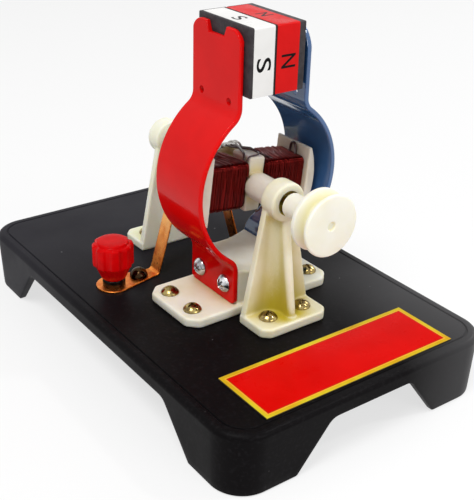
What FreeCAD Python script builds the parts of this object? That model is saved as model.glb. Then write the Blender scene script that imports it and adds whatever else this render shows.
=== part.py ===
import FreeCAD, Part
import math
import os
import re
import Sketcher

# Demonstration electric motor: a black tray, two painted pole arms that hold a magnet block over
# a two-pole wound rotor, two white stands with the shaft's bearings, a belt pulley, two copper
# brushes and two terminals.  Millimetres.  The origin is under the middle of the tray, +Z is up,
# +Y runs along the shaft away from the pulley.

os.makedirs("parts", exist_ok=True)
doc = FreeCAD.newDocument("DemonstrationMotor")

# ---------------------------------------------------------------- driving dimensions
sizes = (
    # tray
    ("baseLength", 145.0, "tray along the shaft"),
    ("baseWidth", 92.4, "tray across the shaft"),
    ("deckTop", 19.3, "top of the deck above the table"),
    ("baseDraft", 0.7, "how much each side comes in at its foot"),
    ("baseCorner", 10.5, "corner radius in plan"),
    ("shoulderRadius", 1.8, "rounding between the sides and the deck"),
    ("skirtThick", 2.4, "side walls"),
    ("deckThick", 2.6, "deck"),
    ("rimInset", 3.0, "line in the deck, from the edge"),
    ("rimWidth", 0.6, "width of that line"),
    ("rimDepth", 0.35, "depth of that line"),
    ("archHeight", 14.2, "arches in the four sides"),
    ("archCorner", 4.0, "upper corners of the arches"),
    ("endArchFoot", 50.0, "end arch at the table"),
    ("endArchTop", 28.5, "end arch at its top"),
    ("sideArchFoot", 103.4, "side arch at the table"),
    ("sideArchTop", 80.2, "side arch at its top"),
    # name plate
    ("labelWidth", 66.3, "plate across the shaft"),
    ("labelDepth", 21.3, "plate along the shaft"),
    ("labelThick", 0.3, "plate thickness"),
    ("labelInset", 4.1, "front edge of the plate from the front of the tray"),
    # shaft
    ("axisRise", 37.1, "shaft above the deck"),
    ("shaftRadius", 1.5, "shaft"),
    ("shaftTail", 0.8, "shaft beyond the rear boss"),
    ("shaftBevel", 0.3, "bevelled ends of the shaft"),
    ("bearingPlay", 0.05, "running fit of the shaft, each side"),
    ("pressPlay", 0.02, "fit of what is pressed on the shaft, each side"),
    ("endPlay", 0.5, "rotor to each stand"),
    # saddle under the rotor
    ("poleOffset", 11.9, "middle of the poles before the origin"),
    ("flangeWidth", 52.4, "saddle flange across"),
    ("flangeDepth", 24.4, "saddle flange along the shaft"),
    ("flangeThick", 3.0, "saddle flange"),
    ("flangeChamfer", 3.2, "cut corners of the flange"),
    ("blockWidth", 18.2, "saddle block across, and between the arms"),
    ("blockDepth", 21.6, "saddle block along the shaft"),
    ("saddleRadius", 24.6, "hollow over the block, round the shaft"),
    ("saddleScrewAcross", 43.2, "saddle screws across"),
    ("saddleScrewAlong", 12.0, "saddle screws along the shaft"),
    # pole arms
    ("armThick", 1.4, "arm strip"),
    ("armWidth", 22.0, "arm strip along the shaft"),
    ("armRadius", 26.3, "outside of the large bow"),
    ("armReach", 3.4, "centre of the bow beyond the middle"),
    ("armLift", 1.2, "centre of the bow above the shaft"),
    ("armBend", 4.0, "outside radius of the two small bends"),
    ("armHeight", 80.3, "arm above the flange"),
    ("earCorner", 4.0, "rounded ears"),
    ("earNotchDepth", 2.8, "notch between the ears"),
    ("earNotchTop", 9.2, "notch at its top"),
    ("earNotchFloor", 7.0, "notch at its floor"),
    ("earHoleRadius", 0.9, "small holes below the magnets"),
    ("earHoleDrop", 19.55, "those holes below the ears' top"),
    ("earHoleSpan", 12.8, "between those holes"),
    ("armFootCorner", 2.0, "rounded corners at the foot"),
    ("armScrewRise", 5.45, "arm screws above the flange"),
    ("armScrewSpan", 12.4, "between the arm screws"),
    ("armScrewHole", 7.0, "depth of their holes in the block"),
    # magnets
    ("magnetHeight", 18.6, "magnet block"),
    ("magnetLength", 24.1, "magnet block along the shaft"),
    ("magnetDrop", 17.3, "underside of the block below the ears' top"),
    ("magnetForward", 1.75, "block before the middle of the arms"),
    ("magnetPlay", 0.1, "block to each arm"),
    # stands
    ("standFootWidth", 23.6, "stand foot across"),
    ("standFootDepth", 12.3, "stand foot along the shaft"),
    ("standFootThick", 3.0, "stand foot"),
    ("standFootChamfer", 2.2, "cut outer corners of the foot"),
    ("frontStandFace", 27.5, "flat back of the front stand before the origin"),
    ("rearStandFace", 26.4, "flat back of the rear stand behind the origin"),
    ("standScrewSpan", 12.26, "between the stand screws"),
    ("standScrewInset", 6.2, "stand screws from the flat back"),
    ("columnFoot", 23.0, "column width at its foot"),
    ("columnNeck", 9.4, "column width at the shaft"),
    ("columnThick", 2.2, "column plate"),
    ("ribThick", 2.2, "rib down the middle of the column"),
    ("ribFootReach", 10.55, "rib at its foot, from the flat back"),
    ("ribNeckReach", 5.5, "rib under the boss, from the flat back"),
    ("coveFoot", 4.0, "cove beside the rib at its foot"),
    ("coveNeck", 2.5, "cove beside the rib under the boss"),
    ("bossRadius", 5.7, "bearing boss"),
    ("bossLength", 5.6, "bearing boss"),
    ("mouthRadius", 3.4, "wider mouth of the bearing bore"),
    ("mouthDepth", 1.2, "depth of that mouth"),
    # pulley
    ("pulleyRadius", 8.8, "pulley flanges"),
    ("pulleyFace", 50.8, "front of the pulley before the origin"),
    ("pulleyThick", 6.5, "both flanges and the groove"),
    ("pulleyRim", 1.4, "each flange at its rim"),
    ("grooveDepth", 3.2, "groove down to the point of its V"),
    ("grooveRoot", 0.9, "rounding at that point"),
    ("hubRadius", 3.5, "pulley hub"),
    ("hubLength", 10.1, "pulley hub"),
    ("pulleyWeb", 1.4, "pulley in front of its bore"),
    ("boreGap", 0.3, "end of that bore to the shaft"),
    ("dimpleRadius", 1.2, "dimple in the pulley's face"),
    ("dimpleDepth", 0.8, "depth of that dimple"),
    # rotor
    ("rotorTilt", 6.3, "how far the rotor has turned at rest, degrees"),
    ("rotorOffset", 12.4, "middle of the rotor before the origin"),
    ("rotorRadius", 20.0, "outside of the pole shoes in their middle"),
    ("shoeCurve", 24.0, "radius of the shoes' outside"),
    ("shoeThick", 3.1, "pole shoes in their middle"),
    ("shoeSpan", 20.2, "pole shoe, chord"),
    ("shoeLength", 15.2, "pole shoe along the shaft"),
    ("coilStart", 2.9, "inner end of each coil from the shaft's axis"),
    ("coilHeight", 13.5, "coil across its arm"),
    ("coilDepth", 10.4, "coil along the shaft"),
    ("coilBuild", 3.15, "thickness of the winding"),
    ("coilCorner", 2.5, "rounded corners of the winding"),
    ("coilPlay", 0.2, "coil to its shoe"),
    ("sleeveWall", 1.0, "nylon round the steel core"),
    ("cheekHeight", 16.4, "wall between the coils"),
    ("cheekDepth", 7.4, "that wall along the shaft"),
    ("cheekPlay", 0.1, "coil to that wall"),
    ("barrelRadius", 3.7, "barrel of the rotor"),
    ("discRadius", 7.6, "disc at the rotor's rear"),
    ("discThick", 2.5, "that disc"),
    ("discBack", 1.0, "rear of that disc before the origin"),
    # commutator
    ("brushOffset", 12.0, "middle of the brushes behind the origin"),
    ("commutatorRadius", 4.8, "copper segments"),
    ("commutatorLength", 9.0, "copper segments"),
    ("segmentThick", 0.85, "copper segments"),
    ("segmentSlot", 0.8, "slot between the segments"),
    ("segmentPlay", 0.05, "segments to their core"),
    ("collarRadius", 5.4, "collars beside the segments"),
    ("collarThick", 1.5, "those collars"),
    ("bushRadius", 3.2, "core beyond the collars"),
    # brushes
    ("brushThick", 0.6, "copper strip"),
    ("brushWidth", 5.2, "blade of the strip"),
    ("brushLean", 0.285, "how far the blade leans in, per unit of height"),
    ("brushPlay", 0.15, "blade to the commutator"),
    ("brushBend", 1.0, "inside radius of the bend"),
    ("brushTip", 4.5, "end of the blade above the shaft"),
    ("paddleRadius", 5.5, "round end under the terminal"),
    ("brushScrewSpan", 43.6, "between the brush screws"),
    ("brushScrewRadius", 1.1, "brush screw"),
    ("brushHeadRadius", 2.5, "its domed head"),
    ("brushHeadHeight", 2.2, "its domed head"),
    ("brushHeadBevel", 1.2, "bevel of that head"),
    # terminals
    ("terminalSpan", 61.2, "between the terminals"),
    ("washerRadius", 3.5, "dark washer on each brush"),
    ("washerThick", 2.2, "that washer"),
    ("knobPlay", 0.05, "knob to its washer"),
    ("skirtFoot", 3.6, "radius of the knob at its foot"),
    ("skirtTop", 5.8, "radius where the lobes start"),
    ("skirtHeight", 4.3, "knob below the lobes"),
    ("knobRadius", 6.5, "lobes of the knob"),
    ("knobHeight", 7.2, "lobes of the knob"),
    ("knobRound", 0.9, "upper edge of the lobes"),
    ("capRadius", 4.8, "round top of the knob"),
    ("capHeight", 1.0, "round top of the knob"),
    ("knobLobes", 8, "number of lobes"),
    ("fluteRadius", 1.7, "flutes between the lobes"),
    ("fluteOut", 1.1, "centre of each flute outside the lobes"),
    ("insertRadius", 2.5, "brass insert of the knob"),
    ("insertLength", 8.4, "that insert"),
    ("insertInset", 0.6, "insert above the knob's foot"),
    ("studRise", 8.0, "stud above the washer"),
    # screws
    ("screwRadius", 1.5, "M3 screws and studs"),
    ("holePlay", 0.1, "screw to its hole"),
    ("threadPlay", 0.05, "screw to its thread"),
    ("headRadius", 2.75, "pan head"),
    ("headHeight", 2.0, "pan head"),
    ("headBevel", 0.9, "bevel of the pan head"),
    ("nutFlats", 5.5, "hexagon nut across flats"),
    ("nutThick", 2.4, "hexagon nut"),
    ("screwEnd", 1.0, "screw beyond its nut"),
)

dims = doc.addObject("Spreadsheet::Sheet", "Dims")
for row, (name, size, note) in enumerate(sizes, start=1):
    dims.set("A%d" % row, name)
    dims.set("B%d" % row, str(size))
    dims.set("C%d" % row, note)
    dims.setAlias("B%d" % row, name)
doc.recompute()
sizeNames = set(name for name, size, note in sizes)

# ---------------------------------------------------------------- sizes worked out from those
axisZ = "(deckTop + axisRise)"
flangeTop = "(deckTop + flangeThick)"
armTop = "(%s + armHeight)" % flangeTop
deckUnder = "(deckTop - deckThick)"
shoeInner = "(rotorRadius - shoeThick)"
bladeRun = "sqrt(1 + brushLean^2)"
washerTop = "(deckTop + brushThick + washerThick)"
knobFoot = "(%s + knobPlay)" % washerTop


# ---------------------------------------------------------------- helpers
def linked(expression):
    # every size's name, as a cell of the sheet
    def cell(word):
        return "Dims." + word.group() if word.group() in sizeNames else word.group()
    return re.sub(r"[A-Za-z]\w*", cell, expression)


def value(expression):
    return float(dims.evalExpression(linked(expression)))


def newBody(name, place=("0", "0", "0"), axis=(0, 0, 1), angle=0):
    body = doc.addObject("PartDesign::Body", name)
    body.Label = name
    body.AllowCompound = True
    setPlace(body, place, axis, angle)
    return body


def setPlace(piece, place, axis=(0, 0, 1), angle=0):
    turn = FreeCAD.Rotation(FreeCAD.Vector(*axis), angle)
    piece.Placement = FreeCAD.Placement(FreeCAD.Vector(), turn)
    for letter, expression in zip("xyz", place):
        if expression != "0":
            piece.setExpression("Placement.Base." + letter, linked(expression))


def originFeature(body, role):
    return next(part for part in body.Origin.OriginFeatures if part.Role == role)


def newSketch(body, name, role="XY_Plane", offset="0"):
    sketch = body.newObject("Sketcher::SketchObject", name)
    sketch.AttachmentSupport = [(originFeature(body, role), "")]
    sketch.MapMode = "FlatFace"
    if offset != "0":
        sketch.setExpression("AttachmentOffset.Base.z", linked(offset))
    return sketch


def hold(sketch, constraint, expression):
    number = sketch.addConstraint(constraint)
    sketch.renameConstraint(number, "size%d" % number)
    sketch.setExpression("Constraints.size%d" % number, linked(expression))


def pin(sketch, shape, point, x, y):
    # holds a point of the sketch at x, y
    for kind, axis, expression in (("DistanceX", -2, x), ("DistanceY", -1, y)):
        if expression == "0":
            sketch.addConstraint(Sketcher.Constraint("PointOnObject", shape, point, axis))
        else:
            distance = Sketcher.Constraint(kind, -1, 1, shape, point, value(expression))
            hold(sketch, distance, expression)


def circle(sketch, x, y, radius):
    centre = FreeCAD.Vector(value(x), value(y), 0)
    shape = sketch.addGeometry(Part.Circle(centre, FreeCAD.Vector(0, 0, 1), value(radius)))
    pin(sketch, shape, 3, x, y)
    hold(sketch, Sketcher.Constraint("Radius", shape, value(radius)), radius)


def arcBetween(start, end, radius, turn):
    # turn 1 runs anticlockwise from start to end, -1 clockwise
    chord = end - start
    side = FreeCAD.Vector(-chord.y, chord.x, 0).normalize() * turn
    rise = math.sqrt(max(radius ** 2 - chord.Length ** 2 / 4, 0))
    centre = (start + end) * 0.5 + side * rise
    first, last = (start, end) if turn > 0 else (end, start)
    angles = [math.atan2(spot.y - centre.y, spot.x - centre.x) for spot in (first, last)]
    return Part.ArcOfCircle(Part.Circle(centre, FreeCAD.Vector(0, 0, 1), radius), *angles)


def outline(sketch, corners, arcs=None):
    # A closed outline through its corners.  A corner is (x, y), or (x, y, radius) where it is
    # rounded.  arcs gives (radius, turn) for each side that is an arc, by its first corner.
    arcs = arcs or {}
    count = len(corners)
    spots = [FreeCAD.Vector(value(corner[0]), value(corner[1]), 0) for corner in corners]
    arrive = list(spots)
    leave = list(spots)
    for i, corner in enumerate(corners):
        if len(corner) == 3:
            back = (spots[i - 1] - spots[i]).normalize()
            onward = (spots[(i + 1) % count] - spots[i]).normalize()
            reach = value(corner[2]) / math.tan(back.getAngle(onward) / 2)
            arrive[i] = spots[i] + back * reach
            leave[i] = spots[i] + onward * reach
    sides = []
    for i in range(count):
        start, end = leave[i], arrive[(i + 1) % count]
        if i in arcs:
            radius, turn = arcs[i]
            side = sketch.addGeometry(arcBetween(start, end, value(radius), turn))
            hold(sketch, Sketcher.Constraint("Radius", side, value(radius)), radius)
            sides.append((side, 1, 2) if turn > 0 else (side, 2, 1))
        else:
            sides.append((sketch.addGeometry(Part.LineSegment(start, end)), 1, 2))
    for i, corner in enumerate(corners):
        before, beforeStart, beforeEnd = sides[i - 1]
        after, afterStart, afterEnd = sides[i]
        if len(corner) == 2:
            sketch.addConstraint(
                Sketcher.Constraint("Coincident", before, beforeEnd, after, afterStart))
            pin(sketch, after, afterStart, corner[0], corner[1])
            continue
        turn = 1 if (spots[i] - arrive[i]).cross(leave[i] - spots[i]).z > 0 else -1
        arc = sketch.addGeometry(arcBetween(arrive[i], leave[i], value(corner[2]), turn))
        arcStart, arcEnd = (1, 2) if turn > 0 else (2, 1)
        sketch.addConstraint(Sketcher.Constraint("Tangent", before, beforeEnd, arc, arcStart))
        sketch.addConstraint(Sketcher.Constraint("Tangent", arc, arcEnd, after, afterStart))
        hold(sketch, Sketcher.Constraint("Radius", arc, value(corner[2])), corner[2])
        point = sketch.addGeometry(Part.Point(spots[i]), True)
        sketch.addConstraint(Sketcher.Constraint("PointOnObject", point, 1, before))
        sketch.addConstraint(Sketcher.Constraint("PointOnObject", point, 1, after))
        pin(sketch, point, 1, corner[0], corner[1])


def rectangle(sketch, width, depth, corner=None, x="0", y="0"):
    left, right = "%s - (%s)/2" % (x, width), "%s + (%s)/2" % (x, width)
    low, high = "%s - (%s)/2" % (y, depth), "%s + (%s)/2" % (y, depth)
    extra = () if corner is None else (corner,)
    outline(sketch, [spot + extra for spot in ((left, low), (right, low), (right, high), (left, high))])


def extrude(body, kind, sketch, length=None, **options):
    feature = body.newObject("PartDesign::" + kind, kind)
    feature.Profile = sketch
    if length is None:
        feature.Type = "ThroughAll"
    else:
        feature.setExpression("Length", linked(length))
    for option, setting in options.items():
        setattr(feature, option, setting)
    return feature


def pad(body, sketch, length, **options):
    return extrude(body, "Pad", sketch, length, **options)


def pocket(body, sketch, length=None, **options):
    return extrude(body, "Pocket", sketch, length, **options)


def revolve(body, sketch, role):
    feature = body.newObject("PartDesign::Revolution", "Revolution")
    feature.Profile = sketch
    feature.ReferenceAxis = (originFeature(body, role), [""])
    feature.Angle = 360
    return feature


def loft(body, kind, first, last):
    feature = body.newObject("PartDesign::" + kind, kind)
    feature.Profile = first
    feature.Sections = [last]
    feature.Ruled = True
    return feature


def edgeFeature(body, kind, size, wanted):
    # a fillet or a chamfer on the edges that wanted picks by their middle and direction
    doc.recompute()
    tip = body.Tip
    names = []
    for i, edge in enumerate(tip.Shape.Edges, start=1):
        middle = edge.valueAt((edge.FirstParameter + edge.LastParameter) / 2)
        along = edge.tangentAt((edge.FirstParameter + edge.LastParameter) / 2)
        if wanted(middle, along):
            names.append("Edge%d" % i)
    feature = body.newObject("PartDesign::" + kind, kind)
    feature.Base = (tip, names)
    feature.setExpression("Radius" if kind == "Fillet" else "Size", linked(size))
    return feature


def near(a, b):
    return abs(a - b) < 0.01


# ---------------------------------------------------------------- tray
def screwSpots():
    # x, y and the radius of every hole in the deck
    clear = "screwRadius + holePlay"
    spots = []
    for side in ("-", "+"):
        for end in ("-", "+"):
            across = "%ssaddleScrewAcross/2" % side
            spots.append((across, "-poleOffset %s saddleScrewAlong/2" % end, clear))
        across = "%sstandScrewSpan/2" % side
        spots.append((across, "-frontStandFace - standScrewInset", clear))
        spots.append((across, "rearStandFace + standScrewInset", clear))
        spots.append(("%sterminalSpan/2" % side, "brushOffset", clear))
        spots.append(("%sbrushScrewSpan/2" % side, "brushOffset", "brushScrewRadius + threadPlay"))
    return spots


def makeBase():
    body = newBody("base")
    foot = newSketch(body, "TrayFoot")
    rectangle(foot, "baseWidth - 2*baseDraft", "baseLength - 2*baseDraft", "baseCorner - baseDraft")
    block = pad(body, foot, "deckTop")
    block.setExpression("TaperAngle", linked("atan(baseDraft/deckTop)"))
    height = value("deckTop")
    edgeFeature(body, "Fillet", "shoulderRadius", lambda middle, along: near(middle.z, height))

    inset = "2*(baseDraft + skirtThick)"
    cavity = newSketch(body, "Cavity")
    rectangle(cavity, "baseWidth - " + inset, "baseLength - " + inset,
              "baseCorner - baseDraft - skirtThick")
    pocket(body, cavity, deckUnder, Reversed=True)

    for role, footSpan, topSpan in (("XZ_Plane", "endArchFoot", "endArchTop"),
                                    ("YZ_Plane", "sideArchFoot", "sideArchTop")):
        arch = newSketch(body, "Arch", role)
        outline(arch, [("-%s/2" % footSpan, "0"), ("%s/2" % footSpan, "0"),
                       ("%s/2" % topSpan, "archHeight", "archCorner"),
                       ("-%s/2" % topSpan, "archHeight", "archCorner")])
        pocket(body, arch, SideType="Symmetric")

    line = newSketch(body, "RimLine", offset="deckTop")
    for extra in ("0", "rimWidth"):
        shrink = "2*(rimInset + %s)" % extra
        rectangle(line, "baseWidth - " + shrink, "baseLength - " + shrink,
                  "baseCorner - rimInset - %s" % extra)
    pocket(body, line, "rimDepth")

    holes = newSketch(body, "DeckHoles", offset="deckTop")
    for x, y, radius in screwSpots():
        circle(holes, x, y, radius)
    pocket(body, holes, "deckThick + 1")


def makeLabel():
    plate = doc.addObject("Part::Box", "label_plate")
    plate.Label = "label_plate"
    plate.setExpression("Length", linked("labelWidth"))
    plate.setExpression("Width", linked("labelDepth"))
    plate.setExpression("Height", linked("labelThick"))
    setPlace(plate, ("-labelWidth/2", "labelInset - baseLength/2", "deckTop"))


# ---------------------------------------------------------------- magnet frame
def makeSaddle():
    body = newBody("pole_saddle", ("0", "-poleOffset", "deckTop"))
    flange = newSketch(body, "Flange")
    rectangle(flange, "flangeWidth", "flangeDepth")
    pad(body, flange, "flangeThick")
    halfWidth, halfDepth = value("flangeWidth/2"), value("flangeDepth/2")
    edgeFeature(body, "Chamfer", "flangeChamfer", lambda middle, along:
                near(abs(middle.x), halfWidth) and near(abs(middle.y), halfDepth))

    # the block's hollow is a part of a circle round the shaft
    block = newSketch(body, "Block", "XZ_Plane")
    horn = "axisRise - sqrt(saddleRadius^2 - (blockWidth/2)^2)"
    outline(block, [("-blockWidth/2", "flangeThick/2"), ("blockWidth/2", "flangeThick/2"),
                    ("blockWidth/2", horn), ("-blockWidth/2", horn)], {2: ("saddleRadius", -1)})
    pad(body, block, "blockDepth", SideType="Symmetric")

    holes = newSketch(body, "FlangeHoles", offset="flangeThick")
    for side in ("-", ""):
        for end in ("-", ""):
            circle(holes, "%ssaddleScrewAcross/2" % side, "%ssaddleScrewAlong/2" % end,
                   "screwRadius + holePlay")
    pocket(body, holes)
    for away in ("", "-"):
        threads = newSketch(body, "ArmThreads", "YZ_Plane", away + "blockWidth/2")
        for end in ("-", ""):
            circle(threads, "%sarmScrewSpan/2" % end, "flangeThick + armScrewRise",
                   "screwRadius + threadPlay")
        pocket(body, threads, "armScrewHole", Reversed=(away == "-"))


def makeArm(name, turned):
    # A strip with its foot against the block, a small bend, a large bow round the rotor, a second
    # bend and two ears beside the magnets.  The bends and the bow touch where the line between
    # their centres meets the strip.
    body = newBody(name, ("0", "-poleOffset", "0"), angle=turned)
    outer = "(blockWidth/2 + armThick)"
    centreZ = "(%s + armLift)" % axisZ
    run = "(%s + armBend + armReach)" % outer
    reach = "(armRadius + armBend)"
    rise = "sqrt(%s^2 - %s^2)" % (reach, run)

    def touch(radius):
        # where the bow of this radius passes into its bends: x, and the height above its centre
        return "%s*%s/%s - armReach" % (radius, run, reach), "%s*%s/%s" % (radius, rise, reach)

    outX, outZ = touch("armRadius")
    inX, inZ = touch("(armRadius - armThick)")
    inner = "blockWidth/2"
    side = newSketch(body, "Strip", "XZ_Plane")
    outline(side, [
        (outer, flangeTop), (outer, "%s - %s" % (centreZ, rise)),
        (outX, "%s - %s" % (centreZ, outZ)), (outX, "%s + %s" % (centreZ, outZ)),
        (outer, "%s + %s" % (centreZ, rise)), (outer, armTop), (inner, armTop),
        (inner, "%s + %s" % (centreZ, rise)), (inX, "%s + %s" % (centreZ, inZ)),
        (inX, "%s - %s" % (centreZ, inZ)), (inner, "%s - %s" % (centreZ, rise)), (inner, flangeTop),
    ], {1: ("armBend", -1), 2: ("armRadius", 1), 3: ("armBend", -1),
        7: ("armBend + armThick", 1), 8: ("armRadius - armThick", -1), 9: ("armBend + armThick", 1)})
    pad(body, side, "armWidth", SideType="Symmetric")

    cuts = newSketch(body, "NotchAndHoles", "YZ_Plane")
    floor = "%s - earNotchDepth" % armTop
    lip = "%s + 1" % armTop
    wider = "(earNotchTop + (earNotchTop - earNotchFloor)/earNotchDepth)/2"
    outline(cuts, [("-" + wider, lip), ("-earNotchFloor/2", floor, "earHoleRadius"),
                   ("earNotchFloor/2", floor, "earHoleRadius"), (wider, lip)])
    for end in ("-", ""):
        circle(cuts, end + "earHoleSpan/2", "%s - earHoleDrop" % armTop, "earHoleRadius")
        circle(cuts, end + "armScrewSpan/2", "%s + armScrewRise" % flangeTop, "screwRadius + holePlay")
    pocket(body, cuts, SideType="Symmetric")
    halfWidth, high, low = value("armWidth/2"), value(armTop), value(flangeTop)
    edgeFeature(body, "Fillet", "earCorner", lambda middle, along:
                near(abs(middle.y), halfWidth) and near(middle.z, high) and near(abs(along.x), 1))
    edgeFeature(body, "Fillet", "armFootCorner", lambda middle, along:
                near(abs(middle.y), halfWidth) and near(middle.z, low) and near(abs(along.x), 1))


def makeMagnet(name, side):
    # one of two equal blocks, which meet in the middle
    block = doc.addObject("Part::Box", name)
    block.Label = name
    thick = "(blockWidth/2 - magnetPlay)"
    block.setExpression("Length", linked(thick))
    block.setExpression("Width", linked("magnetLength"))
    block.setExpression("Height", linked("magnetHeight"))
    setPlace(block, ("-" + thick if side < 0 else "0",
                     "-poleOffset - magnetForward - magnetLength/2", "%s - magnetDrop" % armTop))


# ---------------------------------------------------------------- stands
def makeStand(name, faceY, turned):
    # The local origin is on the deck under the flat back, and the stand lies on its -Y side.
    body = newBody(name, ("0", faceY, "deckTop"), angle=turned)
    foot = newSketch(body, "Foot")
    rectangle(foot, "standFootWidth", "standFootDepth", y="-standFootDepth/2")
    pad(body, foot, "standFootThick")
    halfWidth, depth = value("standFootWidth/2"), value("standFootDepth")
    edgeFeature(body, "Chamfer", "standFootChamfer", lambda middle, along:
                near(abs(middle.x), halfWidth) and near(middle.y, -depth))

    plate = newSketch(body, "Column", "XZ_Plane")
    outline(plate, [("-columnFoot/2", "standFootThick/2"), ("columnFoot/2", "standFootThick/2"),
                    ("columnFoot/2", "standFootThick"), ("columnNeck/2", "axisRise"),
                    ("-columnNeck/2", "axisRise"), ("-columnFoot/2", "standFootThick")])
    pad(body, plate, "columnThick")

    # the rib's section has a round nose and runs into the plate through two coves
    sections = []
    for height, reach, cove in (("standFootThick", "ribFootReach", "coveFoot"),
                                ("axisRise - bossRadius + ribThick/2", "ribNeckReach", "coveNeck")):
        section = newSketch(body, "RibSection", offset=height)
        wide = "(ribThick/2 + %s)" % cove
        nose = "ribThick/2 - %s" % reach
        outline(section, [
            ("-" + wide, "-columnThick/2"), ("-" + wide, "-columnThick"),
            ("-ribThick/2", "-columnThick - " + cove), ("-ribThick/2", nose), ("0", "-" + reach),
            ("ribThick/2", nose), ("ribThick/2", "-columnThick - " + cove),
            (wide, "-columnThick"), (wide, "-columnThick/2"),
        ], {1: (cove, -1), 3: ("ribThick/2", 1), 4: ("ribThick/2", 1), 6: (cove, -1)})
        sections.append(section)
    loft(body, "AdditiveLoft", *sections)

    boss = newSketch(body, "Boss", "XZ_Plane")
    circle(boss, "0", "axisRise", "bossRadius")
    pad(body, boss, "bossLength")
    mouth = newSketch(body, "BoreMouth", "XZ_Plane", "bossLength")
    circle(mouth, "0", "axisRise", "mouthRadius")
    pocket(body, mouth, "mouthDepth")
    bore = newSketch(body, "Bore", "XZ_Plane")
    circle(bore, "0", "axisRise", "shaftRadius + bearingPlay")
    pocket(body, bore, SideType="Symmetric")
    holes = newSketch(body, "FootHoles", offset="standFootThick")
    for side in ("-", ""):
        circle(holes, side + "standScrewSpan/2", "-standScrewInset", "screwRadius + holePlay")
    pocket(body, holes)


# ---------------------------------------------------------------- rotor
def rotorBody(name):
    body = newBody(name, ("0", "0", axisZ), axis=(0, 1, 0))
    body.setExpression("Placement.Rotation.Angle", linked("rotorTilt * 1 deg"))
    return body


def spin(body, name, corners):
    # a turned shape round the shaft: corners are (y, radius)
    sketch = newSketch(body, name, "YZ_Plane")
    outline(sketch, corners)
    revolve(body, sketch, "Y_Axis")


def makeShaft():
    body = rotorBody("shaft")
    front = "pulleyWeb + boreGap - pulleyFace"
    rear = "rearStandFace + bossLength + shaftTail"
    sketch = newSketch(body, "ShaftProfile", "YZ_Plane")
    bevel = "shaftBevel"
    outline(sketch, [(front, "0"), (rear, "0"), (rear, "shaftRadius - " + bevel),
                     ("%s - %s" % (rear, bevel), "shaftRadius"),
                     ("%s + %s" % (front, bevel), "shaftRadius"), (front, "shaftRadius - " + bevel)])
    revolve(body, sketch, "Y_Axis")


def makePulley():
    body = rotorBody("pulley")
    bore = "shaftRadius + pressPlay"
    face = "-pulleyFace"
    back = "(pulleyThick - pulleyFace)"
    hubEnd = "(%s + hubLength)" % back
    spin(body, "PulleyProfile", [
        (face, "dimpleRadius"), (face, "pulleyRadius"), (face + " + pulleyRim", "pulleyRadius"),
        (face + " + pulleyThick/2", "pulleyRadius - grooveDepth", "grooveRoot"),
        (back + " - pulleyRim", "pulleyRadius"), (back, "pulleyRadius"), (back, "hubRadius"),
        (hubEnd, "hubRadius"), (hubEnd, bore), (face + " + pulleyWeb", bore),
        (face + " + pulleyWeb", "0"), (face + " + dimpleDepth", "0"),
    ])


def makeRotorFrame():
    body = rotorBody("rotor_frame")
    middle = "-rotorOffset"
    bore = "shaftRadius + pressPlay"
    front = "endPlay - frontStandFace"
    rear = "-discBack"
    neck = "coilStart - cheekPlay"
    coilFront = "%s - coilDepth/2 - cheekPlay" % middle
    coilBack = "%s + coilDepth/2 + cheekPlay" % middle
    spin(body, "Barrel", [
        (front, bore), (rear, bore), (rear, "discRadius"), (rear + " - discThick", "discRadius"),
        (rear + " - discThick", "barrelRadius"), (coilBack, "barrelRadius"), (coilBack, neck),
        (coilFront, neck), (coilFront, "barrelRadius"), (front, "barrelRadius"),
    ])

    # sketches on the XZ plane look towards +Y, so a pad from them is centred by its offset
    cheek = newSketch(body, "Cheek", "XZ_Plane", "rotorOffset")
    rectangle(cheek, "2*(coilStart - cheekPlay)", "cheekHeight")
    pad(body, cheek, "cheekDepth", SideType="Symmetric")

    sleeve = newSketch(body, "Sleeve", "YZ_Plane")
    rectangle(sleeve, "coilDepth - 2*coilBuild", "coilHeight - 2*coilBuild", x=middle)
    pad(body, sleeve, "2*%s + shoeThick" % shoeInner, SideType="Symmetric")

    # each shoe is a segment of a circle with a flat back
    for side in (1, -1):
        shoe = newSketch(body, "Shoe", "XZ_Plane", "rotorOffset")
        sign = "" if side > 0 else "-"
        edge = sign + "(rotorRadius - shoeCurve + sqrt(shoeCurve^2 - (shoeSpan/2)^2))"
        back = sign + shoeInner
        outline(shoe, [(edge, "-shoeSpan/2"), (edge, "shoeSpan/2"),
                       (back, "shoeSpan/2"), (back, "-shoeSpan/2")], {0: ("shoeCurve", side)})
        pad(body, shoe, "shoeLength", SideType="Symmetric")

    # the steel core is moulded in, and the shaft runs on through the whole frame
    seat = newSketch(body, "CoreSeat", "YZ_Plane")
    rectangle(seat, "coilDepth - 2*coilBuild - 2*sleeveWall", "coilHeight - 2*coilBuild - 2*sleeveWall",
              x=middle)
    pocket(body, seat, "2*%s" % shoeInner, SideType="Symmetric")
    through = newSketch(body, "ShaftHole", "XZ_Plane")
    circle(through, "0", "0", bore)
    pocket(body, through, SideType="Symmetric")


def makeRotorCore():
    body = rotorBody("rotor_core")
    bar = newSketch(body, "Bar", "YZ_Plane")
    rectangle(bar, "coilDepth - 2*coilBuild - 2*sleeveWall", "coilHeight - 2*coilBuild - 2*sleeveWall",
              x="-rotorOffset")
    pad(body, bar, "2*%s" % shoeInner, SideType="Symmetric")
    through = newSketch(body, "ShaftHole", "XZ_Plane")
    circle(through, "0", "0", "shaftRadius + pressPlay")
    pocket(body, through, SideType="Symmetric")


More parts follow.
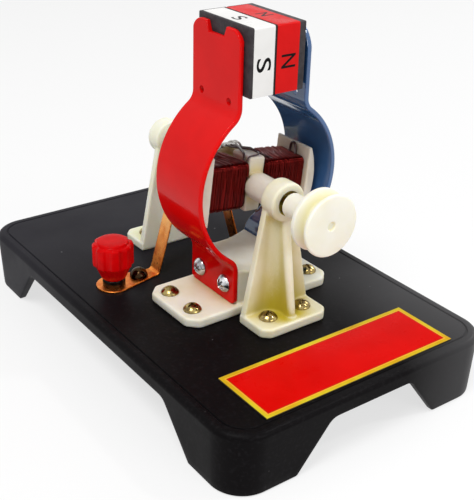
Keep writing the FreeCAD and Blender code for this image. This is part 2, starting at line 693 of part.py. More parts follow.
def makeCoil(name, turned):
    # a ring of wire round the sleeve, from the wall to the shoe
    body = newBody(name, ("0", "0", axisZ), axis=(0, 1, 0))
    body.setExpression("Placement.Rotation.Angle", linked("(rotorTilt + %d) * 1 deg" % turned))
    ring = newSketch(body, "Winding", "YZ_Plane", "coilStart")
    rectangle(ring, "coilDepth", "coilHeight", "coilCorner", x="-rotorOffset")
    rectangle(ring, "coilDepth - 2*coilBuild", "coilHeight - 2*coilBuild", x="-rotorOffset")
    pad(body, ring, "%s - coilPlay - coilStart" % shoeInner)


def makeCommutatorCore():
    body = rotorBody("commutator_core")
    bore = "shaftRadius + pressPlay"
    core = "commutatorRadius - segmentThick - segmentPlay"
    start = "-discBack"
    end = "rearStandFace - endPlay"
    segmentsStart = "brushOffset - commutatorLength/2"
    segmentsEnd = "brushOffset + commutatorLength/2"
    collarsStart = segmentsStart + " - collarThick"
    collarsEnd = segmentsEnd + " + collarThick"
    spin(body, "CoreProfile", [
        (start, bore), (end, bore), (end, "bushRadius"), (collarsEnd, "bushRadius"),
        (collarsEnd, "collarRadius"), (segmentsEnd, "collarRadius"), (segmentsEnd, core),
        (segmentsStart, core), (segmentsStart, "collarRadius"), (collarsStart, "collarRadius"),
        (collarsStart, "bushRadius"), (start, "bushRadius"),
    ])


def makeSegment(name, turned):
    body = newBody(name, ("0", "0", axisZ), axis=(0, 1, 0))
    body.setExpression("Placement.Rotation.Angle", linked("(rotorTilt + %d) * 1 deg" % turned))
    ring = newSketch(body, "Ring", "XZ_Plane", "-brushOffset")
    circle(ring, "0", "0", "commutatorRadius")
    circle(ring, "0", "0", "commutatorRadius - segmentThick")
    pad(body, ring, "commutatorLength", SideType="Symmetric")
    half = newSketch(body, "OtherHalf", "XZ_Plane")
    side = "commutatorRadius + 1"
    outline(half, [("-(%s)" % side, "-(%s)" % side), (side, "-(%s)" % side),
                   (side, "segmentSlot/2"), ("-(%s)" % side, "segmentSlot/2")])
    pocket(body, half, SideType="Symmetric")


# ---------------------------------------------------------------- brushes and terminals
def makeBrush(name, turned):
    # A copper strip: a round paddle under the terminal, a foot on the deck and a blade that leans
    # against the commutator.  The blade's face is tangent to the commutator, less its play.
    body = newBody(name, ("0", "brushOffset", "deckTop"), angle=turned)
    heel = "((commutatorRadius + brushPlay)*%s + brushLean*axisRise)" % bladeRun
    back = "(%s + brushThick*%s)" % (heel, bladeRun)
    tip = "(axisRise + brushTip)"
    footEnd = "(%s + 3*brushBend)" % back
    blade = newSketch(body, "Blade", "XZ_Plane")
    outline(blade, [
        (footEnd, "0"), (footEnd, "brushThick"),
        ("%s - brushLean*brushThick" % back, "brushThick", "brushBend"),
        ("%s - brushLean*%s" % (back, tip), tip), ("%s - brushLean*%s" % (heel, tip), tip),
        (heel, "0", "brushBend + brushThick"),
    ])
    pad(body, blade, "brushWidth", SideType="Symmetric")
    foot = newSketch(body, "Foot")
    start = "(%s + 2*brushBend)" % back
    outline(foot, [(start, "-brushWidth/2"), ("terminalSpan/2", "-paddleRadius"),
                   ("terminalSpan/2", "paddleRadius"), (start, "brushWidth/2")])
    pad(body, foot, "brushThick")
    paddle = newSketch(body, "Paddle")
    circle(paddle, "terminalSpan/2", "0", "paddleRadius")
    pad(body, paddle, "brushThick")
    holes = newSketch(body, "StripHoles", offset="brushThick")
    circle(holes, "terminalSpan/2", "0", "screwRadius + holePlay")
    circle(holes, "brushScrewSpan/2", "0", "brushScrewRadius + holePlay")
    pocket(body, holes)


def makeWashers():
    body = newBody("terminal_washers", ("0", "brushOffset", "deckTop + brushThick"))
    ring = newSketch(body, "Washers")
    for side in ("-", ""):
        circle(ring, side + "terminalSpan/2", "0", "washerRadius")
        circle(ring, side + "terminalSpan/2", "0", "screwRadius + holePlay")
    pad(body, ring, "washerThick")


def makeStuds():
    # each stud's head is under the deck
    body = newBody("terminal_studs", ("0", "brushOffset", deckUnder))
    shank = newSketch(body, "Shanks")
    heads = newSketch(body, "Heads")
    for side in ("-", ""):
        circle(shank, side + "terminalSpan/2", "0", "screwRadius")
        circle(heads, side + "terminalSpan/2", "0", "headRadius")
    pad(body, shank, "%s + studRise - %s" % (washerTop, deckUnder))
    pad(body, heads, "headHeight", Reversed=True)


def makeKnob(name, side):
    # turned profile with a conical skirt, then eight flutes down its upper part
    body = newBody(name, ("%sterminalSpan/2" % side, "brushOffset", knobFoot))
    bore = "insertRadius + threadPlay"
    top = "skirtHeight + knobHeight"
    deep = "insertInset + insertLength + threadPlay"
    profile = newSketch(body, "KnobProfile", "XZ_Plane")
    outline(profile, [
        (bore, "0"), ("skirtFoot", "0"), ("skirtTop", "skirtHeight"), ("knobRadius", "skirtHeight"),
        ("knobRadius", top, "knobRound"), ("capRadius", top), ("capRadius", top + " + capHeight"),
        ("0", top + " + capHeight"), ("0", deep), (bore, deep),
    ])
    revolve(body, profile, "Z_Axis")
    flute = newSketch(body, "Flute", offset=top)
    circle(flute, "knobRadius + fluteOut", "0", "fluteRadius")
    cut = pocket(body, flute, "knobHeight")
    pattern = body.newObject("PartDesign::PolarPattern", "Flutes")
    pattern.Originals = [cut]
    pattern.Axis = (originFeature(body, "Z_Axis"), [""])
    pattern.Angle = 360
    pattern.setExpression("Occurrences", linked("knobLobes"))
    body.Tip = pattern


def makeInsert(name, side):
    body = newBody(name, ("%sterminalSpan/2" % side, "brushOffset", knobFoot + " + insertInset"))
    ring = newSketch(body, "Ring")
    circle(ring, "0", "0", "insertRadius")
    circle(ring, "0", "0", "screwRadius + threadPlay")
    pad(body, ring, "insertLength")


# ---------------------------------------------------------------- screws and nuts
def makeScrews(name, spots, length, place, axis=(0, 0, 1), angle=0,
               radius="screwRadius", headR="headRadius", headH="headHeight", headEdge="headBevel"):
    # heads stand on the local z = 0, shanks reach down
    body = newBody(name, place, axis, angle)
    heads = newSketch(body, "Heads")
    for x, y in spots:
        circle(heads, x, y, headR)
    pad(body, heads, headH)
    height = value(headH)
    edgeFeature(body, "Chamfer", headEdge, lambda middle, along: near(middle.z, height))
    shanks = newSketch(body, "Shanks")
    for x, y in spots:
        circle(shanks, x, y, radius)
    pad(body, shanks, length, Reversed=True)


def makeNuts(name, spots):
    body = newBody(name, ("0", "0", deckUnder))
    nuts = newSketch(body, "Nuts")
    for x, y in spots:
        corners = []
        for dx, dy in ((1, 0), (0.5, 1), (-0.5, 1), (-1, 0), (-0.5, -1), (0.5, -1)):
            corners.append(("%s + %g*nutFlats/sqrt(3)" % (x, dx), "%s + %g*nutFlats/2" % (y, dy)))
        outline(nuts, corners)
        circle(nuts, x, y, "screwRadius + threadPlay")
    pad(body, nuts, "nutThick", Reversed=True)


# ---------------------------------------------------------------- the whole motor
makeBase()
makeLabel()
makeSaddle()
makeArm("pole_arm_red", 180)
makeArm("pole_arm_blue", 0)
makeMagnet("magnet_south", -1)
makeMagnet("magnet_north", 1)
makeStand("front_stand", "-frontStandFace", 0)
makeStand("rear_stand", "rearStandFace", 180)

makeShaft()
makePulley()
makeRotorFrame()
makeRotorCore()
makeCoil("coil_right", 0)
makeCoil("coil_left", 180)
makeCommutatorCore()
makeSegment("commutator_segment_a", 0)
makeSegment("commutator_segment_b", 180)

makeBrush("brush_right", 0)
makeBrush("brush_left", 180)
makeWashers()
makeStuds()
makeKnob("terminal_knob_red", "-")
makeKnob("terminal_knob_black", "")
makeInsert("knob_insert_red", "-")
makeInsert("knob_insert_black", "")

throughLength = "deckThick + nutThick + screwEnd"
saddleSpots = [(side + "saddleScrewAcross/2", end + "saddleScrewAlong/2")
               for side in ("-", "") for end in ("-", "")]
standSpots = [(side + "standScrewSpan/2", "-standScrewInset") for side in ("-", "")]
armSpots = [("0", end + "armScrewSpan/2") for end in ("-", "")]
brushSpots = [(side + "brushScrewSpan/2", "0") for side in ("-", "")]
makeScrews("saddle_screws", saddleSpots, "flangeThick + " + throughLength,
           ("0", "-poleOffset", flangeTop))
makeScrews("front_stand_screws", standSpots, "standFootThick + " + throughLength,
           ("0", "-frontStandFace", "deckTop + standFootThick"))
makeScrews("rear_stand_screws", standSpots, "standFootThick + " + throughLength,
           ("0", "rearStandFace", "deckTop + standFootThick"), angle=180)
armScrewZ = flangeTop + " + armScrewRise"
armScrewLength = "armThick + armScrewHole - screwEnd"
makeScrews("arm_screws_blue", armSpots, armScrewLength,
           ("blockWidth/2 + armThick", "-poleOffset", armScrewZ), axis=(0, 1, 0), angle=90)
makeScrews("arm_screws_red", armSpots, armScrewLength,
           ("-blockWidth/2 - armThick", "-poleOffset", armScrewZ), axis=(0, 1, 0), angle=-90)
makeScrews("brush_screws", brushSpots, "brushThick + deckThick",
           ("0", "brushOffset", "deckTop + brushThick"), radius="brushScrewRadius",
           headR="brushHeadRadius", headH="brushHeadHeight", headEdge="brushHeadBevel")
makeNuts("saddle_nuts", [(x, y + " - poleOffset") for x, y in saddleSpots])
makeNuts("stand_nuts", [(x, "-frontStandFace - standScrewInset") for x, y in standSpots]
         + [(x, "rearStandFace + standScrewInset") for x, y in standSpots])

# ---------------------------------------------------------------- checks and export
doc.recompute()
for piece in doc.Objects:
    if "Invalid" in piece.State or "Error" in piece.State:
        raise RuntimeError("%s (%s) did not compute: %s" % (piece.Name, piece.Label, piece.State))

pieces = [piece for piece in doc.Objects if piece.TypeId in ("PartDesign::Body", "Part::Box")]
for piece in pieces:
    if piece.Shape.isNull() or not piece.Shape.isValid():
        raise RuntimeError("%s has no valid shape" % piece.Label)
for piece in pieces:
    piece.Shape.exportStep("parts/%s.step" % piece.Label)
    box = piece.Shape.BoundBox
    print("%-22s %d solid(s) %9.1f mm3  x %7.2f %7.2f  y %7.2f %7.2f  z %7.2f %7.2f" % (
        piece.Label, len(piece.Shape.Solids), piece.Shape.Volume,
        box.XMin, box.XMax, box.YMin, box.YMax, box.ZMin, box.ZMax))
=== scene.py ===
import bpy
import bmesh
import math
import numpy as np
from mathutils import Matrix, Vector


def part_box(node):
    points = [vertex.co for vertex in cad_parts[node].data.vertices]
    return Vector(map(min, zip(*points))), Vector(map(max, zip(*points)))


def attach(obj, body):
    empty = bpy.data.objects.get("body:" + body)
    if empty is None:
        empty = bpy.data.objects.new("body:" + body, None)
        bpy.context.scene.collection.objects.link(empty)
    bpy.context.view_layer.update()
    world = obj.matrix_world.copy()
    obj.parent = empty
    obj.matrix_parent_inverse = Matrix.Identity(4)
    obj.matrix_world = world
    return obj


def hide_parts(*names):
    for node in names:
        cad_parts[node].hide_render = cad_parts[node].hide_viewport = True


# The looks of an open demonstration motor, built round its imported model.
# Shapes are worked out in millimetres with numpy and stored in metres.

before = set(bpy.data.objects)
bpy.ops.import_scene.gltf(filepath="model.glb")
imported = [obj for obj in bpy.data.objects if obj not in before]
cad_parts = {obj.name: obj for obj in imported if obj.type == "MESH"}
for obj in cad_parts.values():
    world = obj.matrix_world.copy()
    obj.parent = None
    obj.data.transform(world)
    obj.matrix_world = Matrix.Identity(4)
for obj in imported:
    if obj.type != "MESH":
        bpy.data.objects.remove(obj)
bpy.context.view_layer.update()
mm = 0.001
rng = np.random.default_rng(7)
scene = bpy.context.scene


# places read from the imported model, in millimetres
def lowHigh(node):
    low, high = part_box(node)
    return np.array(low) / mm, np.array(high) / mm


def boxCentre(node):
    low, high = lowHigh(node)
    return (low + high) / 2


deckTop = lowHigh("base")[1][2]
axisHeight = boxCentre("pulley")[2]
shaftRise = axisHeight - deckTop
poleMiddle = boxCentre("pole_arm_red")[1]
brushMiddle = boxCentre("brush_left")[1]
terminalReach = abs(boxCentre("terminal_knob_black")[0])
rotorTilt = math.radians(6.3)
print("frame loaded: deck at", round(deckTop, 2), "shaft at", round(axisHeight, 2))


def xyz(*columns):
    # columns of coordinates, broadcast together, as points
    return np.stack(np.broadcast_arrays(*columns), -1)


def unit(vectors):
    return vectors / np.linalg.norm(vectors, axis=-1, keepdims=True)


def roundAngles(count):
    return np.linspace(0, 2 * math.pi, count, endpoint=False)


def quarter(steps):
    # 1 - cos and 1 - sin of these degrees, for an edge rounded by a quarter circle
    turn = np.radians(steps)
    return 1 - np.cos(turn), 1 - np.sin(turn)


def gridQuads(rows, columns):
    # quads between neighbouring rows and round each row
    i = np.arange(rows - 1)[:, None] * columns
    j = np.arange(columns)[None, :]
    right = (j + 1) % columns
    return np.stack([i + j, i + right, i + right + columns, i + j + columns], -1).reshape(-1, 4)


def shell(rings, closed=False):
    # rings[row, column] are points of closed loops; the two ends get a cap unless the rows close too
    rings = np.asarray(rings, float)
    if closed:
        rings = np.concatenate([rings, rings[:1]])
    rows, columns = rings.shape[:2]
    faces = gridQuads(rows, columns).tolist()
    if not closed:
        faces.append(list(range(columns))[::-1])
        faces.append([(rows - 1) * columns + k for k in range(columns)])
    return rings.reshape(-1, 3), faces


def circleArc(centre, radius, start, end, steps):
    # points of an arc from start to end, in degrees
    angle = np.radians(np.linspace(start, end, steps))
    return xyz(centre[0] + radius * np.cos(angle), centre[1] + radius * np.sin(angle))


def rectangle(left, right, low, high):
    return np.array([(left, low), (right, low), (right, high), (left, high)], float)


def roundCorners(corners, radii, steps=6):
    # an outline through its corners, each replaced by an arc that touches both of its sides
    corners = np.asarray(corners, float)
    radii = np.broadcast_to(radii, len(corners))
    pieces = []
    for k, corner in enumerate(corners):
        back = corners[k - 1] - corner
        onward = corners[(k + 1) % len(corners)] - corner
        back, onward = back / np.linalg.norm(back), onward / np.linalg.norm(onward)
        half = math.acos(np.clip(back @ onward, -1, 1)) / 2
        if radii[k] <= 0 or half > math.pi / 2 - 1e-3:
            pieces.append(corner[None])
            continue
        middle = (back + onward) / np.linalg.norm(back + onward)
        centre = corner + middle * radii[k] / math.sin(half)
        first = corner + back * radii[k] / math.tan(half) - centre
        last = corner + onward * radii[k] / math.tan(half) - centre
        start = math.atan2(first[1], first[0])
        sweep = (math.atan2(last[1], last[0]) - start + math.pi) % (2 * math.pi) - math.pi
        pieces.append(circleArc(centre, radii[k], math.degrees(start), math.degrees(start + sweep), steps))
    return np.concatenate(pieces)


def refine(outline, spacing):
    # the same outline with points at most this far apart
    following = np.roll(outline, -1, axis=0)
    counts = np.maximum(1, np.ceil(np.linalg.norm(following - outline, axis=1) / spacing)).astype(int)
    owner = np.repeat(np.arange(len(outline)), counts)
    share = (np.arange(len(owner)) - np.repeat(np.cumsum(counts) - counts, counts)) / counts[owner]
    return outline[owner] + (following - outline)[owner] * share[:, None]


def slab(outline, low, high, edge=0.3):
    # a plate of this outline from low to high, its edges rounded by a quarter circle
    sides = unit(outline - np.roll(outline, 1, axis=0)), unit(np.roll(outline, -1, axis=0) - outline)
    normals = [xyz(-side[:, 1], side[:, 0]) for side in sides]
    middle = unit(normals[0] + normals[1])
    inner = middle / np.maximum((middle * normals[0]).sum(1), 0.4)[:, None]
    lessCos, lessSin = quarter(np.linspace(0, 90, 4))
    inset = np.concatenate([edge * lessSin, edge * lessCos])[:, None]
    height = np.concatenate([low + edge * lessCos, high - edge * lessSin])[:, None]
    return shell(xyz(outline[:, 0] + inner[:, 0] * inset, outline[:, 1] + inner[:, 1] * inset, height))


def turned(profile, steps):
    # a profile of (radius, height) points turned round the z axis
    profile, angle = np.asarray(profile, float), roundAngles(steps)
    return xyz(profile[:, :1] * np.cos(angle), profile[:, :1] * np.sin(angle), profile[:, 1:])


def lathe(corners, radii, steps, arc=5):
    # a turned body whose profile has rounded corners, but for its two ends
    radii = np.array(np.broadcast_to(radii, len(corners)), float)
    radii[[0, -1]] = 0
    return shell(turned(roundCorners(corners, radii, arc), steps))


def moved(part, place=None, swap=None):
    # a copy of a shell: swap names the old axes in their new order, place maps its points
    points = np.array(part[0])
    if swap:
        points = points[:, swap]
    return (place(points) if place else points), part[1]


def shifted(x=0.0, y=0.0, z=0.0):
    return lambda points: points + np.array([x, y, z])


def facing(sign, y, z=0.0):
    # to its place, after half a turn about the z axis where sign is -1
    return lambda points: points * [sign, sign, 1] + [0, y, z]


def turnedAbout(points, angle):
    # turned about the shaft's direction, from z towards x
    x = points[:, 0] * math.cos(angle) + points[:, 2] * math.sin(angle)
    z = -points[:, 0] * math.sin(angle) + points[:, 2] * math.cos(angle)
    return xyz(x, points[:, 1], z)


def onShaft(points):
    # from the rotor's own axes to the motor's: tilted about the shaft and lifted to it
    return turnedAbout(points, rotorTilt) + [0, 0, axisHeight]


alongY = [0, 2, 1]
alongX = [2, 0, 1]


def linked(name, data):
    thing = bpy.data.objects.new(name, data)
    scene.collection.objects.link(thing)
    return thing


def looseObject(name, parts):
    starts = np.cumsum([0] + [len(points) for points, faces in parts]).tolist()
    faces = [[k + start for k in face] for part, start in zip(parts, starts) for face in part[1]]
    mesh = bpy.data.meshes.new(name)
    mesh.from_pydata((np.concatenate([points for points, _ in parts]) * mm).tolist(), [], faces)
    work = bmesh.new()
    work.from_mesh(mesh)
    bmesh.ops.remove_doubles(work, verts=work.verts, dist=2e-7)
    bmesh.ops.recalc_face_normals(work, faces=work.faces)
    work.to_mesh(mesh)
    work.free()
    return linked(name, mesh)


def evaluatedMesh(thing):
    bpy.context.view_layer.update()
    return bpy.data.meshes.new_from_object(thing.evaluated_get(bpy.context.evaluated_depsgraph_get()))


def applyModifiers(thing):
    mesh = evaluatedMesh(thing)
    thing.modifiers.clear()
    thing.data = mesh


def cutAway(thing, holes):
    # closed shells are cut from it one after the other
    tools = [looseObject(thing.name + "_cut", [hole]) for hole in holes]
    for tool in tools:
        step = thing.modifiers.new("step", "BOOLEAN")
        step.operation, step.solver, step.object = "DIFFERENCE", "EXACT", tool
    applyModifiers(thing)
    for tool in tools:
        bpy.data.objects.remove(tool)
    return thing


def moulded(name, parts, settings):
    # overlapping closed shells become one skin with soft edges
    thing = looseObject(name, parts)
    skin = thing.modifiers.new("skin", "REMESH")
    skin.mode, skin.voxel_size = "VOXEL", settings["voxel"] * mm
    soften = thing.modifiers.new("soften", "SMOOTH")
    soften.factor, soften.iterations = 0.5, settings["passes"]
    applyModifiers(thing)
    return thing


def dress(thing, body, material, nodes=(), sharp=38):
    # smooth shading with sharp edges kept, one material, and its place in the motor
    mesh = thing.data
    mesh.shade_smooth()
    mesh.set_sharp_from_angle(angle=math.radians(sharp))
    mesh.materials.clear()
    mesh.materials.append(material)
    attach(thing, body)
    if nodes:
        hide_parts(*nodes)
    return thing


def addPiece(name, parts, body, material, nodes=(), sharp=38):
    return dress(looseObject(name, parts), body, material, nodes, sharp)


def addRotorPiece(name, parts, material, nodes=(), sharp=38):
    return addPiece(name, [moved(part, onShaft) for part in parts], "rotor", material, nodes, sharp)


class Nodes:
    # a shader's tree and the means to add to it
    def __init__(self, tree):
        self.tree = tree

    def feed(self, socket, value):
        # a value, or the output of another node
        if isinstance(value, bpy.types.NodeSocket):
            self.tree.links.new(value, socket)
        else:
            socket.default_value = value

    def add(self, kind, inputs=(), **settings):
        node = self.tree.nodes.new("ShaderNode" + kind)
        for name, value in settings.items():
            setattr(node, name, value)
        for socket, value in dict(inputs).items():
            self.feed(node.inputs[socket], value)
        return node

    def maths(self, operation, *values):
        return self.add("Math", dict(enumerate(values)), operation=operation).outputs[0]


class Finish(Nodes):
    # a principled shader fed by object-space noise
    def __init__(self, name, roughness, metallic=0.0, **sockets):
        self.material = bpy.data.materials.new(name)
        self.material.use_nodes = True
        super().__init__(self.material.node_tree)
        self.shader = self.tree.nodes["Principled BSDF"]
        for socket, value in dict(sockets, Roughness=roughness, Metallic=metallic).items():
            self.feed(self.shader.inputs[socket.replace("_", " ")], value)
        self.place = self.add("TexCoord").outputs["Object"]

    def noise(self, perMetre, detail):
        return self.add("TexNoise", {"Vector": self.place, "Scale": perMetre, "Detail": detail,
                                     "Roughness": 0.55}).outputs["Fac"]

    def spread(self, source, low, high, fromLow=0.35, fromHigh=0.65):
        return self.add("MapRange", {"Value": source, "From Min": fromLow, "From Max": fromHigh,
                                     "To Min": low, "To Max": high}).outputs["Result"]

    def ramp(self, source, start, end, low=0, high=1):
        # from low to high while a distance, or the place along an axis, goes from start to end in millimetres
        if isinstance(source, str):
            source = self.axis(source)
        return self.spread(source, low, high, start * mm, end * mm)

    def blend(self, factor, first, second):
        ends = {k: value + (1,) if isinstance(value, tuple) else value for k, value in ((6, first), (7, second))}
        return self.add("Mix", {0: factor, **ends}, data_type="RGBA").outputs[2]

    def mottle(self, perMetre, detail, light, dark, *span):
        return self.blend(self.spread(self.noise(perMetre, detail), 0, 1, *span), light, dark)

    def axis(self, letter):
        return self.add("SeparateXYZ", {"Vector": self.place}).outputs[letter]

    def shadeInCorners(self, reach, bare, deep):
        # painted shade mask from the piece's own ambient occlusion: 0 out in the open and 1 deep in its inner corners
        hollow = self.add("AmbientOcclusion", {"Distance": reach * mm}, samples=8, only_local=True)
        return self.spread(hollow.outputs["AO"], 1, 0, deep, bare)

    def done(self, colour, rough, bump):
        # rough: noise scale, detail, low, high; bump: noise scale, detail, strength, depth and its span
        self.feed(self.shader.inputs["Base Color"], colour)
        if rough:
            self.feed(self.shader.inputs["Roughness"], self.spread(self.noise(*rough[:2]), *rough[2:]))
        height = self.noise(*bump[:2])
        if len(bump) > 4:
            height = self.spread(height, 0, 1, *bump[4:])
        node = self.add("Bump", {"Strength": bump[2], "Distance": bump[3], "Height": height})
        self.feed(self.shader.inputs["Normal"], node.outputs["Normal"])
        return self.material


def mottled(name, light, dark, patch, rough, bump, roughness, **sockets):
    finish = Finish(name, roughness, **sockets)
    return finish.done(finish.mottle(*patch, light, dark), rough, bump)


def trayPlastic():
    # satin black with a fine moulded grain and a few specks; a painted reflection greys it to the back and painted
    # light greys it at the front right
    finish = Finish("tray_black", 0.42, Specular_IOR_Level=0.045)
    body = finish.mottle(900, 6, (0.0026, 0.0020, 0.0024), (0.009, 0.008, 0.009), 0.52, 0.78)
    # painted reflection: greyer towards the back
    body = finish.blend(finish.ramp("Y", -5, 48, 0, 0.85), body, (0.022, 0.021, 0.026))
    # painted light: greyer at the front right
    corner = finish.maths("MULTIPLY", finish.ramp("X", 12, 44), finish.ramp("Y", -40, 10, 1, 0))
    body = finish.blend(corner, body, (0.058, 0.057, 0.059))
    specks = finish.spread(finish.noise(700, 1), 0, 0.5, 0.83, 0.85)
    body = finish.blend(specks, body, (0.40, 0.39, 0.40))
    return finish.done(body, (45, 4, 0.36, 0.50), (2600, 3, 0.10, 0.00008))


def nylon(name, tint, shade, deep=(0.62, 0.50, 0.16), reach=6, deepest=0.42, hollow=(0.76, 0.64, 0.42), ribShadeReach=0):
    # natural nylon: milky and satin, with painted shade that turns it yellow in its hollows and corners
    finish = Finish(name, 0.38, Subsurface_Weight=0.35, Subsurface_Scale=0.0016, Specular_IOR_Level=0.3,
                    Subsurface_Radius=(1.0, 0.85, 0.45))
    wide = 14
    # painted shade from the piece's own ambient occlusion: the hollow colour over wide hollows, the deep colour in
    # tight corners
    body = finish.blend(finish.shadeInCorners(wide, 0.94, 0.50), finish.mottle(120, 3, tint, shade, 0.4, 0.7), hollow)
    corners = finish.shadeInCorners(reach, 0.88, deepest)
    if ribShadeReach:
        # painted shade, deeper on the column beside the rib, most of all low down, and hardly on the foot
        near = finish.ramp(finish.maths("ABSOLUTE", finish.axis("X")), 3, ribShadeReach, 1, 0)
        low = finish.maths("MULTIPLY", near, finish.ramp("Z", 25, 48, 1, 0.4))
        body = finish.blend(finish.maths("MULTIPLY", low, finish.shadeInCorners(wide, 0.94, 0.74)), body, deep)
        corners = finish.maths("MULTIPLY", corners, finish.ramp("Z", 22, 26, 0.2, 0.75))
    return finish.done(finish.blend(corners, body, deep), (260, 4, 0.30, 0.46), (700, 4, 0.10, 0.0001))


def paint(name, light, dark, roughness, specular):
    # gloss paint on steel with a faint orange peel
    return mottled(name, light, dark, (60, 3), (200, 3, roughness - 0.03, roughness + 0.05), (420, 2, 0.03, 0.0001),
                   roughness, Specular_IOR_Level=specular)


def metal(name, light, dark, roughness, grain=900, strength=0.15, patch=160):
    return mottled(name, light, dark, (patch, 5), (patch * 2.2, 4, roughness - 0.08, roughness + 0.12),
                   (grain, 3, strength, 0.00004), roughness, metallic=1.0)


def knobPlastic(name, light, dark):
    return mottled(name, light, dark, (140, 3), (300, 4, 0.14, 0.28), (800, 3, 0.06, 0.0001), 0.20,
                   Specular_IOR_Level=0.045)


def film(name, light, dark):
    # a printed sticker
    return mottled(name, light, dark, (90, 3), (240, 4, 0.27, 0.42), (300, 3, 0.1, 0.0001), 0.32,
                   Specular_IOR_Level=0.07)


def plain(name, colour, roughness, **sockets):
    return mottled(name, colour, tuple(0.75 * c for c in colour), (300, 3), None, (900, 2, 0.08, 0.00005), roughness,
                   **sockets)


def stripCopper():
    # redder at its foot, with a rolled grain; painted light turns the left strip golden higher up, while the right
    # one, in shade, keeps its red
    finish = Finish("copper", 0.30, metallic=1.0)
    foot = finish.mottle(380, 5, (0.84, 0.29, 0.055), (0.58, 0.12, 0.014))
    upper = finish.mottle(300, 5, (0.88, 0.56, 0.22), (0.70, 0.30, 0.07))
    # painted light: golden higher up, on the left strip only
    litGoldenShare = finish.maths("MULTIPLY", finish.ramp("Z", 24, 46), finish.ramp("X", -8, 0, 1, 0))
    return finish.done(finish.blend(litGoldenShare, foot, upper), (800, 4, 0.24, 0.42), (1400, 3, 0.2, 0.00004))


def ferrite():
    # a dull sintered block with small pits, and nearly black along its bare strip between the two films
    finish = Finish("ferrite", 0.55, Specular_IOR_Level=0.25)
    sintered = finish.mottle(400, 6, (0.020, 0.016, 0.019), (0.040, 0.034, 0.038))
    away = finish.maths("ABSOLUTE", finish.maths("ADD", finish.axis("X"), 1.07 * mm))
    darkStrip = finish.blend(finish.ramp(away, 0.45, 0.6, 1, 0), sintered, (0.003, 0.002, 0.002))
    return finish.done(darkStrip, (900, 4, 0.45, 0.7), (1900, 5, 0.35, 0.0001, 0.25, 0.45))


def plateFilm(centre, half, border):
    # red field inside a yellow border with an orange and a dark line, by the distance from the plate's edge
    finish = Finish("plate_film", 0.3, Specular_IOR_Level=0.03)
    gaps = []
    for letter, middle, reach in zip("XY", centre, half):
        away = finish.maths("ABSOLUTE", finish.maths("SUBTRACT", finish.axis(letter), middle * mm))
        gaps.append(finish.maths("SUBTRACT", reach * mm, away))
    edge = finish.maths("MINIMUM", *gaps)
    body = finish.mottle(110, 3, (0.60, 0.50, 0.022), (0.56, 0.33, 0.010))
    for start, end, colour in ((-0.62, -0.45, (0.80, 0.36, 0.03)), (-0.22, -0.10, (0.30, 0.02, 0.006)),
                               (-0.06, 0.12, finish.mottle(70, 3, (0.62, 0.003, 0.002), (0.56, 0.002, 0.001)))):
        body = finish.blend(finish.ramp(edge, border + start, border + end), body, colour)
    body = finish.blend(finish.ramp(edge, 0.10, 0.25), (0.05, 0.04, 0.02), body)
    return finish.done(body, (200, 3, 0.24, 0.4), (260, 3, 0.08, 0.0001))


def wireEnamel():
    # dark red enamel on copper, each turn a little different, told by its own attribute
    finish = Finish("wire_enamel", 0.18, metallic=0.8, Specular_IOR_Level=0.12)
    turn = finish.add("Attribute", attribute_name="turn").outputs["Fac"]
    own = finish.blend(turn, (0.045, 0.0022, 0.002), (0.15, 0.006, 0.005))
    return finish.done(finish.mottle(220, 4, own, (0.095, 0.004, 0.003)), (500, 3, 0.13, 0.23),
                       (1500, 2, 0.05, 0.00005))


trayBlack = trayPlastic()
nylonWhite = nylon("nylon", (0.82, 0.80, 0.69), (0.75, 0.71, 0.55))
# the front stand's copy: deeper painted shade in its corners and beside its rib
nylonStand = nylon("nylon_stand", (0.79, 0.765, 0.61), (0.74, 0.70, 0.48), (0.46, 0.365, 0.030), 6.5, 0.48,
                   (0.60, 0.49, 0.17), ribShadeReach=9)
# the rear stand's copy is paler and yellower: painted light for the glow through its shaded side
nylonRearLit = nylon("nylon_rear_lit", (0.86, 0.86, 0.74), (0.82, 0.82, 0.62), (0.66, 0.62, 0.12), 7, 0.45,
                  (0.78, 0.76, 0.36))
nylonPulley = nylon("nylon_pulley", (0.85, 0.835, 0.74), (0.82, 0.79, 0.65), (0.76, 0.71, 0.36), 5, 0.42,
                    (0.82, 0.78, 0.58))
# the rotor's copy is darker: painted shade for the rotor between the arms and under the magnets
nylonShade = nylon("nylon_rotor_shaded", (0.72, 0.68, 0.60), (0.62, 0.57, 0.48))
redPaint = paint("red_paint", (0.70, 0.0035, 0.0035), (0.62, 0.0025, 0.0025), 0.10, 0.10)
bluePaint = paint("blue_paint", (0.036, 0.112, 0.28), (0.025, 0.080, 0.21), 0.08, 0.9)
ferriteBlack = ferrite()
brassYellow = metal("brass", (0.50, 0.39, 0.15), (0.13, 0.085, 0.035), 0.17, patch=620)
# the brush screws' brass is painted near black: a painted reflection of the dark deck round them
brassDarkReflection = metal("brass_dark_reflection", (0.055, 0.030, 0.013), (0.016, 0.009, 0.006), 0.14)
